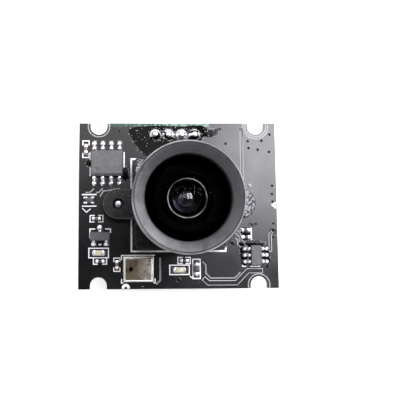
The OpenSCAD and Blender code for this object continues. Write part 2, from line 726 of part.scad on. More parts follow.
module usb_choke_terminals() {
    color("#d8d8dc") at_front(choke_at) for (sx = [-1, 1], sy = [-1, 1])
        translate([sx * choke_end_at[0], sy * choke_end_at[1], 0])
            block([choke_end[0], choke_end[1], choke_body[2]]);
}

module led_base() {
    block(led_chip);
}
module led_terminals() {
    for (s = [-1, 1]) translate([s * (led_chip[0] + led_end[0]) / 2, 0, 0]) block(led_end);
}
module led_lens() {
    w = led_chip[1] / 2;
    translate([-led_chip[0] / 2, 0, led_chip[2]]) rotate([90, 0, 90]) linear_extrude(led_chip[0])
        polygon([[-w, 0], [w, 0], [w - 0.06, led_lens_h], [0.06 - w, led_lens_h]]);
}

module left_led_base() { color("#e9e9e2") at_front(left_led_at) led_base(); }
module left_led_terminals() { color("#d8d8dc") at_front(left_led_at) led_terminals(); }
module left_led_lens() { color("#b9bc8e") at_front(left_led_at) led_lens(); }
module right_led_base() { color("#e9e9e2") at_front(right_led_at) led_base(); }
module right_led_terminals() { color("#d8d8dc") at_front(right_led_at) led_terminals(); }
module right_led_lens() { color("#c9cbb0") at_front(right_led_at) led_lens(); }

module ferrite_bead() { color("#55535a") at_front(bead_at, 90) chip_middle(chip_0603, cap_0603); }
module ferrite_bead_terminals() { color("#e2e2e4") at_front(bead_at, 90) chip_caps(chip_0603, cap_0603); }

module small_chip(at, turn = 0) { at_front(at, turn) chip_middle(chip_0402, cap_0402); }
module small_chip_caps(at, turn = 0) { at_front(at, turn) chip_caps(chip_0402, cap_0402); }

module reset_capacitor() { color("#8a7a68") small_chip(reset_at, 90); }
module reset_capacitor_terminals() { color("#e2e2e4") small_chip_caps(reset_at, 90); }
module supply_capacitor() { color("#6f645a") small_chip(supply_at); }
module supply_capacitor_terminals() { color("#e2e2e4") small_chip_caps(supply_at); }
module left_led_resistor() { color("#202022") small_chip(left_res_at); }
module left_led_resistor_terminals() { color("#e2e2e4") small_chip_caps(left_res_at); }
module microphone_capacitor() { color("#6f645a") small_chip(mic_cap_at, 90); }
module microphone_capacitor_terminals() { color("#e2e2e4") small_chip_caps(mic_cap_at, 90); }
module right_led_resistor() { color("#202022") small_chip(right_res_at); }
module right_led_resistor_terminals() { color("#e2e2e4") small_chip_caps(right_res_at); }
module switch_resistors() { color("#202022") for (p = switch_res_at) small_chip(p); }
module switch_resistor_terminals() { color("#e2e2e4") for (p = switch_res_at) small_chip_caps(p); }

// ---------------------------------------------------------------- wire header

// Shrouded header on the rear, open away from the board, with two latch slots
module header_housing() {
    l = housing_body[0];
    w = housing_body[1];
    h = housing_body[2];
    housing_y = board_d / 2 - w / 2 - 0.05;
    color("#efece2") at_rear([header_at[0], housing_y]) difference() {
        block(housing_body);
        translate([0, 0, housing_floor]) block([l - 2 * housing_wall, w - 2 * housing_wall, h]);
        for (s = [-1, 1]) translate([s * latch_slot[1] / 2, w / 2, latch_slot[2]])
            block([latch_slot[0], 2 * housing_wall + 0.4, h]);
        for (x = pin_x) translate([x - header_at[0], housing_y - header_at[1], -1])
            block([pin_side, pin_side, 4]);
    }
}

module header_pins() {
    color("#cfcfd2") for (x = pin_x) translate([x, header_at[1], -pin_depth])
        block([pin_side, pin_side, pin_depth + top + pin_rise]);
}

// Solder cones round the pins on the front
module header_solder() {
    color("#dcdce0") for (x = pin_x) translate([x, header_at[1], top + pad_t]) difference() {
        rotate_extrude($fn = 48) polygon([[0, 0], [joint_r, 0], [0.8, 0.2], [0.66, 0.45],
                                          [0.45, joint_h - 0.08], [0.3, joint_h], [0, joint_h]]);
        translate([0, 0, -1]) block([pin_side, pin_side, 3]);
    }
}

// Dried glossy flux round the solder joints
flux_edge = [[-7.2, 11.7], [-3.5, 12.1], [0.5, 12], [3.6, 12.15], [4.9, 11.45], [5.9, 11.6], [6.8, 11.75],
             [6.1, 10.85], [4.95, 10.25], [4.1, 10.4], [3, 9.3], [0.5, 8.6], [-2.5, 7.8], [-4.8, 7.5],
             [-5.8, 8.4], [-6.5, 9.3], [-7.1, 10.4]];
module flux_residue() {
    color("#1a1718") translate([0, 0, top]) linear_extrude(flux_t) difference() {
        polygon(smooth_loop(flux_edge, 4));
        for (x = pin_x) translate([x, header_at[1]]) circle(ring_r);
    }
}

// ---------------------------------------------------------------- rear parts

module controller_chip() {
    color("#333338") at_rear(controller_at) difference() {
        block(controller_body);
        translate([-2.3, 2.3, controller_body[2] - 0.06]) cylinder(h = 1, r = 0.3);
    }
}

// Twelve contact ends on each side of the package
module controller_pads() {
    half = controller_body[0] / 2;
    color("#d2c9a8") at_rear(controller_at) for (side = [0 : 3], i = [0 : 11])
        rotate(90 * side) translate([half + 0.1, (i - 5.5) * 0.4, 0]) block([0.2, 0.2, 0.2]);
}

module crystal_base() { color("#8a8478") at_rear(crystal_at) block([crystal_body[0], crystal_body[1], 0.3]); }
module crystal_can() {
    color("#c4c5c8") at_rear(crystal_at) translate([0, 0, 0.3])
        linear_extrude(crystal_body[2] - 0.3) rounded([crystal_body[0] - 0.3, crystal_body[1] - 0.3], 0.4);
}
module power_inductor() {
    color("#46464a") at_rear(inductor_at) linear_extrude(inductor_body[2])
        rounded([inductor_body[0], inductor_body[1]], 0.25);
}

module rear_capacitors() {
    color("#6f645a") for (p = rear_caps) at_rear(p, 90) chip_middle(chip_0402, cap_0402);
}
module rear_capacitor_terminals() {
    color("#e2e2e4") for (p = rear_caps) at_rear(p, 90) chip_caps(chip_0402, cap_0402);
}

// ---------------------------------------------------------------- nodes

circuit_board();
covered_traces();
solder_pads();
silkscreen_print();
lens_holder();
holder_screws();
infrared_filter();
image_sensor();
sensor_cover_glass();
lens_barrel();
front_retaining_ring();
front_element();
front_spacer();
second_element();
aperture_stop();
rear_element();
rear_retaining_ring();
memory_chip();
memory_chip_leads();
regulator();
regulator_leads();
power_switch();
power_switch_leads();
microphone_base();
microphone_can();
usb_choke();
usb_choke_terminals();
left_led_base();
left_led_terminals();
left_led_lens();
right_led_base();
right_led_terminals();
right_led_lens();
ferrite_bead();
ferrite_bead_terminals();
reset_capacitor();
reset_capacitor_terminals();
supply_capacitor();
supply_capacitor_terminals();
left_led_resistor();
left_led_resistor_terminals();
microphone_capacitor();
microphone_capacitor_terminals();
right_led_resistor();
right_led_resistor_terminals();
switch_resistors();
switch_resistor_terminals();
header_housing();
header_pins();
header_solder();
flux_residue();
controller_chip();
controller_pads();
crystal_base();
crystal_can();
power_inductor();
rear_capacitors();
rear_capacitor_terminals();
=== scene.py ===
"""Dressed model of a small board camera module, built round its fixed CAD frame.

New pieces are modelled in millimetres in the frame's own axes, +Z along the optical
axis and +Y towards the connector edge, and are scaled to metres as they are finished.
"""
from __future__ import annotations

import json
import logging
import math
import random
import sys
from dataclasses import dataclass
from enum import Enum
from typing import Any, Callable, Iterable, Sequence

import bmesh
import bpy
from mathutils import Matrix, Vector


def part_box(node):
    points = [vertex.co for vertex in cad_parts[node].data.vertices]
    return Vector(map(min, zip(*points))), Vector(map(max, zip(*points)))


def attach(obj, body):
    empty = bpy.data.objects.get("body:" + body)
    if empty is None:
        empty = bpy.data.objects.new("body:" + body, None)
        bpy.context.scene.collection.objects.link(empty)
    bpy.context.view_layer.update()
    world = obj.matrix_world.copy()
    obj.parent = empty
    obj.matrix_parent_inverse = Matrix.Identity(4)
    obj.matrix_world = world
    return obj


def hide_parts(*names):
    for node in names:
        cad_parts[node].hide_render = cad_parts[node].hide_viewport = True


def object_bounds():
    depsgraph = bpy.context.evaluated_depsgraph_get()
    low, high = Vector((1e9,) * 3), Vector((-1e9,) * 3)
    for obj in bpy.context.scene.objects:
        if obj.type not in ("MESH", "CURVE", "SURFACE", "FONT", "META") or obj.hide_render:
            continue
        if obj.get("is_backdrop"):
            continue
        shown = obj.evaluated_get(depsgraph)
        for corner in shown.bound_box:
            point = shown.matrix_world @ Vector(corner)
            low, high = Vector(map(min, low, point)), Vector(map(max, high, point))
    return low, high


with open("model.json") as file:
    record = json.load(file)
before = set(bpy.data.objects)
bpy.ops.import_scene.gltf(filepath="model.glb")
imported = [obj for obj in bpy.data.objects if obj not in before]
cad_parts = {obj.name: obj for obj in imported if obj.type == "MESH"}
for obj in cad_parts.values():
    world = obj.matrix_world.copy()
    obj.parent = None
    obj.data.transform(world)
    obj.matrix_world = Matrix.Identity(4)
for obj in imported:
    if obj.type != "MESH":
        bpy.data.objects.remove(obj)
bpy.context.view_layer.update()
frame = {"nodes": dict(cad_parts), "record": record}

MM = 0.001              # metres in a millimetre
TOUCH = 0.0005          # points closer than this are one, mm
Rgb = tuple[float, float, float]
Xy = tuple[float, float]
Xyz = tuple[float, float, float]
Drop = tuple[Xy, Xyz, float]        # place of a dome on its ground, its half sizes and its turn in degrees
Socket = bpy.types.NodeSocket
Form = bmesh.types.BMesh
EdgeTest = Callable[[bmesh.types.BMEdge], bool]
log = logging.getLogger("camera_module")


class Slot(Enum):
    """Material slots of the record."""

    BOARD = "board_lacquer"
    INK = "white_ink"
    TIN = "tinned_copper"
    SOLDER = "bright_solder"
    HOLDER = "holder_plastic"
    SCREW = "steel_screw"
    ANODISED = "anodised_black"
    FLAT_BLACK = "flat_black"
    GLASS = "coated_glass"
    FILTER = "filter_glass"
    SENSOR = "sensor_die"
    EPOXY = "chip_epoxy"
    GOLD = "gold_can"
    DARK_CERAMIC = "dark_ceramic"
    TAN_CERAMIC = "tan_ceramic"
    LED_BODY = "led_body"
    LED_RESIN = "led_resin"
    NYLON = "housing_nylon"
    FLUX = "dry_flux"
    NICKEL = "nickel_can"


class Look(Enum):
    """Second finishes of a slot, for single pieces."""

    PAD = "shaded_pad"
    INNER_GLASS = "inner_glass"
    CRUST = "flux_crumb_highlight"
    GLUE = "clear_glue"
    TRACK = "track_lacquer"


NODE_LOOKS = {"second_element": Look.INNER_GLASS, "solder_pads": Look.PAD}


# ---------------------------------------------------------------- node trees


class Graph:
    """Short way to add and wire the nodes of one tree."""

    def __init__(self, tree: bpy.types.NodeTree) -> None:
        """Keeps the tree that nodes are added to."""
        self.tree = tree

    def feed(self, node: bpy.types.Node, key: str | int, value: Any) -> None:
        """Links a socket to a node's input, or sets the input's own value.

        Args:
            node: the node.
            key: name or number of its input.
            value: output socket or value.
        """
        if isinstance(value, Socket):
            self.tree.links.new(value, node.inputs[key])
        else:
            node.inputs[key].default_value = value

    def add(self, kind: str, sockets: dict[Any, Any] | None = None, **settings: Any) -> bpy.types.Node:
        """Adds a node.

        Args:
            kind: Blender's type name of the node.
            sockets: value, or output socket to link, for each named or numbered input.
            settings: attributes of the node itself.

        Returns:
            The new node.
        """
        node = self.tree.nodes.new(kind)
        for key, value in settings.items():
            setattr(node, key, value)
        for key, value in (sockets or {}).items():
            self.feed(node, key, value)
        return node

    def math(self, operation: str, a: Any, b: Any = 0.0, clamp: bool = False) -> Socket:
        """Adds a Math node.

        Args:
            operation: name of the operation.
            a: first value or socket.
            b: second value or socket.
            clamp: True to keep the result between 0 and 1.

        Returns:
            Its output socket.
        """
        return self.add("ShaderNodeMath", {0: a, 1: b}, operation=operation, use_clamp=clamp).outputs[0]

    def product(self, first: Any, *others: Any) -> Socket:
        """Multiplies values.

        Args:
            first: first value or socket.
            others: the others, one at least.

        Returns:
            The product's socket.
        """
        for other in others:
            first = self.math("MULTIPLY", first, other)
        return first

    def ramp(self, value: Any, low: float, high: float, start: float = 0.0, end: float = 1.0) -> Socket:
        """Maps a value smoothly from low..high to start..end.

        Args:
            value: socket to map.
            low: input that gives start.
            high: input that gives end.
            start: output at low.
            end: output at high.

        Returns:
            Its output socket.
        """
        node = self.add("ShaderNodeMapRange", {0: value, 1: low, 2: high, 3: start, 4: end},
                        interpolation_type="SMOOTHSTEP")
        return node.outputs[0]

    def blend(self, factor: Any, a: Any, b: Any) -> Socket:
        """Mixes two colours.

        Args:
            factor: 0 for the first colour, 1 for the second.
            a: first colour or socket.
            b: second colour or socket.

        Returns:
            The mixed colour's socket.
        """
        node = self.add("ShaderNodeMix", data_type="RGBA")
        self.feed(node, 0, factor)
        for key, colour in ((6, a), (7, b)):
            self.feed(node, key, colour if isinstance(colour, Socket) else (*colour, 1.0))
        return node.outputs[2]

    def noise(self, place: Socket, scale: Any, detail: float | Socket = 2.0,
              distortion: float = 0.0) -> Socket:
        """Adds soft noise.

        Args:
            place: where it is read.
            scale: its cells in a metre.
            detail: its octaves.
            distortion: how far it is warped.

        Returns:
            The noise's socket.
        """
        return self.add("ShaderNodeTexNoise", {"Vector": place, "Scale": scale, "Detail": detail,
                                               "Distortion": distortion}).outputs["Fac"]

    def split(self, place: Socket) -> Sequence[Socket]:
        """X, Y and Z of a place."""
        return self.add("ShaderNodeSeparateXYZ", {0: place}).outputs

    def from_axis(self, place: Socket) -> tuple[Socket, Socket]:
        """Works out the distance from the optical axis and the height.

        Args:
            place: object coordinates.

        Returns:
            The sockets of the distance and of the height, in metres.
        """
        x, y, z = self.split(place)
        flat = self.add("ShaderNodeCombineXYZ", {0: x, 1: y})
        return self.add("ShaderNodeVectorMath", {0: flat.outputs[0]}, operation="LENGTH").outputs["Value"], z

    def above(self, value: Socket, low: float) -> Socket:
        """Masks the values, in metres, over a limit in millimetres."""
        return self.math("GREATER_THAN", value, low * MM)

    def between(self, value: Socket, limits: Xy) -> Socket:
        """Masks the values between two limits.

        Args:
            value: socket to test, in metres.
            limits: both limits in millimetres.

        Returns:
            The mask's socket.
        """
        return self.product(self.above(value, limits[0]), self.math("LESS_THAN", value, limits[1] * MM))


class Effect:
    """Shader node group that several finishes share, built once."""

    _built: dict[str, bpy.types.NodeTree] = {}
    title = "effect"
    inputs: dict[str, tuple[str, Any]] = {}
    outputs: dict[str, str] = {}

    @classmethod
    def tree(cls) -> bpy.types.NodeTree:
        """Builds the group the first time it is asked for.

        Returns:
            The group's node tree.
        """
        if cls.title not in Effect._built:
            tree = bpy.data.node_groups.new(cls.title, "ShaderNodeTree")
            for name, (kind, value) in cls.inputs.items():
                socket = tree.interface.new_socket(name, in_out="INPUT", socket_type=kind)
                if value is not None:
                    socket.default_value = value
            for name, kind in cls.outputs.items():
                tree.interface.new_socket(name, in_out="OUTPUT", socket_type=kind)
            graph = Graph(tree)
            source = graph.add("NodeGroupInput")
            sink = graph.add("NodeGroupOutput")
            for name, socket in cls.wire(graph, source).items():
                tree.links.new(socket, sink.inputs[name])
            Effect._built[cls.title] = tree
        return Effect._built[cls.title]

    @classmethod
    def wire(cls, graph: Graph, source: bpy.types.Node) -> dict[str, Socket]:
        """Adds the inner nodes of the group.

        Args:
            graph: the group's own graph.
            source: its input node.

        Returns:
            The socket behind each output.
        """
        raise NotImplementedError

    @classmethod
    def use(cls, graph: Graph, **values: Any) -> bpy.types.Node:
        """Places the group in a material with its own values.

        Args:
            graph: the material's graph.
            values: value or socket of each input.

        Returns:
            The group node.
        """
        node = graph.add("ShaderNodeGroup", node_tree=cls.tree())
        for name, value in values.items():
            graph.feed(node, name, value)
        return node


class SurfaceGrain(Effect):
    """Fine two-octave grain, as moulding or orange peel leaves it."""

    title = "surface_grain"
    inputs = {"Vector": ("NodeSocketVector", None), "Scale": ("NodeSocketFloat", 5000.0),
              "Detail": ("NodeSocketFloat", 2.0)}
    outputs = {"Height": "NodeSocketFloat"}

    @classmethod
    def wire(cls, graph: Graph, source: bpy.types.Node) -> dict[str, Socket]:
        """Mixes soft noise with small cells; see Effect.wire."""
        place, scale, detail = (source.outputs[name] for name in cls.inputs)
        cells = graph.add("ShaderNodeTexVoronoi", {"Vector": place, "Scale": scale})
        half = graph.math("MULTIPLY", cells.outputs["Distance"], 0.5)
        return {"Height": graph.math("ADD", graph.noise(place, scale, detail), half)}


class ColourMottle(Effect):
    """Soft patches that turn one colour towards another."""

    title = "colour_mottle"
    inputs = {"Vector": ("NodeSocketVector", None), "Scale": ("NodeSocketFloat", 1000.0),
              "Colour": ("NodeSocketColor", (0.5, 0.5, 0.5, 1.0)),
              "Second": ("NodeSocketColor", (0.4, 0.4, 0.4, 1.0)), "Amount": ("NodeSocketFloat", 1.0)}
    outputs = {"Colour": "NodeSocketColor", "Mask": "NodeSocketFloat"}

    @classmethod
    def wire(cls, graph: Graph, source: bpy.types.Node) -> dict[str, Socket]:
        """Thresholds a warped noise; see Effect.wire."""
        place, scale, colour, second, amount = (source.outputs[name] for name in cls.inputs)
        mask = graph.product(graph.ramp(graph.noise(place, scale, 3.0, 0.4), 0.36, 0.66), amount)
        return {"Colour": graph.blend(mask, colour, second), "Mask": mask}


class RoundSpecks(Effect):
    """Scattered round specks: dust and grain on most finishes, painted highlights on the dry flux."""

    title = "round_specks"
    inputs = {"Vector": ("NodeSocketVector", None), "Scale": ("NodeSocketFloat", 1500.0),
              "Size": ("NodeSocketFloat", 0.12), "Share": ("NodeSocketFloat", 0.3)}
    outputs = {"Mask": "NodeSocketFloat"}

    @classmethod
    def wire(cls, graph: Graph, source: bpy.types.Node) -> dict[str, Socket]:
        """Keeps the middle of some of the cells; see Effect.wire."""
        place, scale, size, share = (source.outputs[name] for name in cls.inputs)
        cells = graph.add("ShaderNodeTexVoronoi", {"Vector": place, "Scale": scale})
        near = graph.math("LESS_THAN", cells.outputs["Distance"], size)
        chance = graph.add("ShaderNodeSeparateColor", {0: cells.outputs["Color"]}).outputs[0]
        return {"Mask": graph.product(near, graph.math("LESS_THAN", chance, share))}


class TurnedLines(Effect):
    """Fine rings round the optical axis, as a lathe tool leaves them."""

    title = "turned_lines"
    inputs = {"Vector": ("NodeSocketVector", None), "Pitch": ("NodeSocketFloat", 12000.0)}
    outputs = {"Height": "NodeSocketFloat"}

    @classmethod
    def wire(cls, graph: Graph, source: bpy.types.Node) -> dict[str, Socket]:
        """Reads noise along the radius and the height only; see Effect.wire."""
        radius, z = graph.from_axis(source.outputs["Vector"])
        along = graph.add("ShaderNodeCombineXYZ", {0: radius, 2: z})
        return {"Height": graph.noise(along.outputs[0], source.outputs["Pitch"])}


# ---------------------------------------------------------------- finishes


@dataclass(frozen=True)
class Finish:
    """Procedural finish with colour patches, grain and specks. Lengths are in millimetres."""

    slot: Slot
    colour: Rgb
    second: Rgb
    roughness: float = 0.5
    spread: float = 0.06
    metallic: float = 0.0
    patch: float = 0.8
    amount: float = 1.0
    grain: float = 0.12
    relief: float = 0.002
    specular: float = 0.5
    speck_colour: Rgb = (0.6, 0.6, 0.62)
    speck_gap: float = 0.5
    speck_size: float = 0.1
    speck_share: float = 0.0
    look: Look | None = None

    def build(self) -> bpy.types.Material:
        """Builds the material.

        Returns:
            The new material, named after the slot or the look.
        """
        material = bpy.data.materials.new((self.look or self.slot).value)
        material.use_nodes = True
        material.node_tree.nodes.clear()
        graph = Graph(material.node_tree)
        place = graph.add("ShaderNodeTexCoord").outputs["Object"]
        bump = graph.add("ShaderNodeBump", {"Height": self.height(graph, place), "Strength": 1.0,
                                            "Distance": self.relief * MM})
        shader = graph.add("ShaderNodeBsdfPrincipled", {
            "Base Color": self.paint(graph, place), "Roughness": self.gloss(graph, place),
            "Metallic": self.metallic, "Specular IOR Level": self.specular, "Normal": bump.outputs["Normal"]})
        self.extend(graph, shader)
        graph.add("ShaderNodeOutputMaterial", {"Surface": shader.outputs[0]})
        material.diffuse_color = (*self.colour, 1.0)
        return material

    def paint(self, graph: Graph, place: Socket) -> Socket:
        """Wires the base colour.

        Args:
            graph: the material's graph.
            place: object coordinates.

        Returns:
            The colour's socket.
        """
        mottle = ColourMottle.use(graph, Vector=place, Scale=1 / (self.patch * MM), Amount=self.amount,
                                  Colour=(*self.colour, 1.0), Second=(*self.second, 1.0))
        if self.speck_share <= 0:
            return mottle.outputs["Colour"]
        specks = RoundSpecks.use(graph, Vector=place, Scale=1 / (self.speck_gap * MM),
                                Size=self.speck_size / self.speck_gap, Share=self.speck_share)
        return graph.blend(specks.outputs["Mask"], mottle.outputs["Colour"], self.speck_colour)

    def gloss(self, graph: Graph, place: Socket) -> Socket:
        """Wires the roughness.

        Args:
            graph: the material's graph.
            place: object coordinates.

        Returns:
            The roughness socket.
        """
        return graph.ramp(graph.noise(place, 0.7 / (self.patch * MM)), 0.3, 0.7,
                          self.roughness - self.spread, self.roughness + self.spread)

    def height(self, graph: Graph, place: Socket) -> Socket:
        """Wires the relief.

        Args:
            graph: the material's graph.
            place: object coordinates.

        Returns:
            The height's socket.
        """
        return SurfaceGrain.use(graph, Vector=place, Scale=1 / (self.grain * MM)).outputs["Height"]

    def extend(self, graph: Graph, shader: bpy.types.Node) -> None:
        """Adds what only some finishes have.

        Args:
            graph: the material's graph.
            shader: its shader node.
        """


@dataclass(frozen=True)
class BoardLacquer(Finish):
    """Glossy lacquer over laminate, bare at the sides and along the connector edge."""

    laminate: Rgb = (0.1, 0.115, 0.06)
    fibre: Rgb = (0.24, 0.25, 0.15)
    layers: float = 7.0             # fibre layers lie this much closer than the fibres run
    fibre_scale: float = 2600.0
    board_top: float = 1.2
    lip: float = 0.03               # the lacquer reaches this far round the edge
    strip: Rgb = (0.02, 0.05, 0.042)
    strip_bright: Rgb = (0.16, 0.3, 0.26)
    strip_from: float = 11.95
    strip_x: Xy = (-10.75, 4.6)
    strip_soft: float = 0.12
    strip_ends: Xy = (0.2, 0.5)     # length over which its left and right ends fade
    wander: float = 0.9
    wander_scale: float = 1800.0
    scrape_scale: float = 3600.0
    weave_scale: float = 2200.0
    weave_depth: float = 0.06

    def paint(self, graph: Graph, place: Socket) -> Socket:
        """Lays laminate on the side walls and the strip; see Finish.paint."""
        middle = self.board_top / 2
        lift = graph.math("ABSOLUTE", graph.math("SUBTRACT", graph.split(place)[2], middle * MM))
        side = graph.math("LESS_THAN", lift, (middle - self.lip) * MM)
        bare, strip = self.bare_strip(graph, place)
        front = graph.blend(bare, super().paint(graph, place), strip)
        return graph.blend(side, front, self.side_wall(graph, place))

    def side_wall(self, graph: Graph, place: Socket) -> Socket:
        """Wires the layered colour of the cut laminate.

        Args:
            graph: the material's graph.
            place: object coordinates.

        Returns:
            The colour's socket.
        """
        flat = graph.add("ShaderNodeMapping", {"Vector": place, "Scale": (1.0, 1.0, self.layers)})
        fibres = graph.noise(flat.outputs[0], self.fibre_scale, 3.0)
        return graph.blend(graph.ramp(fibres, 0.4, 0.62), self.laminate, self.fibre)

    def bare_strip(self, graph: Graph, place: Socket) -> tuple[Socket, Socket]:
        """Wires the strip along the connector edge where the lacquer is scraped off.

        Args:
            graph: the material's graph.
            place: object coordinates.

        Returns:
            The sockets of its mask and of its colour.
        """
        x, y, _ = graph.split(place)
        start, end = self.strip_x
        shift = graph.product(graph.math("SUBTRACT", graph.noise(place, self.wander_scale, 3.0), 0.5),
                              self.wander * MM)
        edge = graph.ramp(graph.math("ADD", y, shift), (self.strip_from - self.strip_soft) * MM,
                          (self.strip_from + self.strip_soft) * MM)
        right = graph.ramp(graph.math("ADD", x, shift), end * MM, (end + self.strip_ends[1]) * MM, 1, 0)
        left = graph.ramp(x, (start - self.strip_ends[0]) * MM, start * MM)
        more = graph.ramp(x, start * MM, end * MM, 0.12, -0.1)
        scraped = graph.math("SUBTRACT", graph.noise(place, self.scrape_scale, 4.0), more)
        return (graph.product(edge, left, right),
                graph.blend(graph.ramp(scraped, 0.5, 0.62), self.strip, self.strip_bright))

    def height(self, graph: Graph, place: Socket) -> Socket:
        """Adds the faint weave of the laminate to the grain; see Finish.height."""
        weave = graph.add("ShaderNodeTexChecker", {"Vector": place, "Scale": self.weave_scale})
        return graph.math("ADD", super().height(graph, place),
                          graph.product(weave.outputs["Fac"], self.weave_depth))


@dataclass(frozen=True)
class SlopedTrack(BoardLacquer):
    """Lacquer whose sloped track sides are painted light grey, a painted highlight along the edges of the
    tracks.
    """

    slope_to: float = 1.2295
    # painted highlight colour of the track slopes
    slope_highlight: Rgb = (0.62, 0.61, 0.63)

    def paint(self, graph: Graph, place: Socket) -> Socket:
        """Paints the highlight on the slopes; see Finish.paint."""
        slopes = graph.between(graph.split(place)[2], (self.board_top, self.slope_to))
        return graph.blend(slopes, super().paint(graph, place), self.slope_highlight)


@dataclass(frozen=True)
class TurnedMetal(Finish):
    """Anodised metal with the rings of the lathe tool and the lens thread."""

    pitch: float = 0.07
    grain_share: float = 0.35
    thread_pitch: float = 0.5
    thread_band: Xy = (5.88, 6.12)  # distances from the axis between which the thread is cut
    thread_depth: float = 60.0

    def height(self, graph: Graph, place: Socket) -> Socket:
        """Puts rings over a weak grain; see Finish.height."""
        rings = TurnedLines.use(graph, Vector=place, Pitch=1 / (self.pitch * MM)).outputs["Height"]
        fine = graph.math("ADD", rings, graph.product(super().height(graph, place), self.grain_share))
        radius, z = graph.from_axis(place)
        wave = graph.math("PINGPONG", graph.math("DIVIDE", z, self.thread_pitch * MM), 0.5)
        ridges = graph.product(wave, self.thread_depth, graph.between(radius, self.thread_band))
        return graph.math("ADD", fine, ridges)


@dataclass(frozen=True)
class BarrelMetal(TurnedMetal):
    """Anodised metal with a flat black bore, its front groove painted black as shade and a patchy painted
    highlight on its outer edge.
    """

    bore: Xy = (-1.0, 6.19)
    bore_span: Xy = (12.0, 18.62)
    # the front groove is painted black as shade, the outer edge lighter as a painted highlight
    groove: Xy = (6.74, 6.9)
    edge: Xy = (6.93, 7.2)
    edge_from: float = 20.5
    glint_patch_scale: float = 260.0
    black: Rgb = (0.0006, 0.0006, 0.0007)
    # painted highlight colour of the outer edge
    edge_highlight: Rgb = (0.22, 0.22, 0.23)
    dullness: float = 0.6

    def inside(self, graph: Graph, place: Socket) -> Socket:
        """Masks the bore.

        Args:
            graph: the material's graph.
            place: object coordinates.

        Returns:
            The mask's socket.
        """
        radius, z = graph.from_axis(place)
        return graph.product(graph.between(radius, self.bore), graph.between(z, self.bore_span))

    def paint(self, graph: Graph, place: Socket) -> Socket:
        """Blackens the bore, paints shade into the groove and a patchy highlight on the outer edge; see
        Finish.paint.
        """
        radius, z = graph.from_axis(place)
        front = graph.above(z, self.edge_from)
        groove = graph.product(graph.between(radius, self.groove), front)
        # patches of the painted highlight
        glint_patches = graph.ramp(graph.noise(place, self.glint_patch_scale, 3.0), 0.35, 0.65, 0.15, 1.0)
        edge = graph.product(graph.between(radius, self.edge), front, glint_patches)
        dark = graph.math("MAXIMUM", self.inside(graph, place), groove)
        return graph.blend(edge, graph.blend(dark, super().paint(graph, place), self.black), self.edge_highlight)

    def gloss(self, graph: Graph, place: Socket) -> Socket:
        """Takes the gloss off the bore; see Finish.gloss."""
        dull = graph.product(self.inside(graph, place), self.dullness)
        return graph.math("ADD", super().gloss(graph, place), dull, clamp=True)


@dataclass(frozen=True)
class GlintCollar(TurnedMetal):
    """Flat black metal with a painted highlight in a thin line inside the tip of its collar."""

    tip_from: float = 17.4
    tip: Xy = (2.46, 2.535)
    glint_patch_scale: float = 420.0
    # painted highlight colour of the line
    bare: Rgb = (0.85, 0.85, 0.88)

    def paint(self, graph: Graph, place: Socket) -> Socket:
        """Paints the highlight line; see Finish.paint."""
        radius, z = graph.from_axis(place)
        # patches of the painted highlight
        glint_patches = graph.ramp(graph.noise(place, self.glint_patch_scale, 3.0), 0.36, 0.62, 0.15, 1.0)
        line = graph.product(graph.between(radius, self.tip), graph.above(z, self.tip_from), glint_patches)
        return graph.blend(line, super().paint(graph, place), self.bare)


@dataclass(frozen=True)
class DustAndSheenPlastic(Finish):
    """Moulded plastic with light grains in a few round patches: dust and dry glue on the ear at the right, a
    painted highlight on the top-left corner of the base.
    """

    patches: tuple[tuple[Xy, float, float], ...] = (    # place, reach and lowest height of each
        # the first patch is dust and dry glue; the second, on the top-left corner of the base, is a painted
        # highlight
        ((9.9, -0.3), 3.0, 4.6), ((-5.9, 6.1), 1.9, 5.3))
    core: float = 0.6               # share of the reach that is covered in full
    dust_and_sheen: Rgb = (0.3, 0.29, 0.32)
    patch_grain_scale: float = 2600.0

    def paint(self, graph: Graph, place: Socket) -> Socket:
        """Lays the dust and the painted highlight; see Finish.paint."""
        x, y, z = graph.split(place)
        flat = graph.add("ShaderNodeCombineXYZ", {0: x, 1: y}).outputs[0]
        share = 0.0
        for spot, reach, low in self.patches:
            off = graph.add("ShaderNodeVectorMath", {0: flat, 1: (spot[0] * MM, spot[1] * MM, 0.0)},
                            operation="DISTANCE").outputs["Value"]
            patch = graph.product(graph.ramp(off, reach * self.core * MM, reach * MM, 1.0, 0.0),
                                  graph.above(z, low))
            share = graph.math("MAXIMUM", share, patch)
        grains = graph.ramp(graph.noise(place, self.patch_grain_scale, 3.0), 0.44, 0.62)
        return graph.blend(graph.product(share, grains), super().paint(graph, place), self.dust_and_sheen)


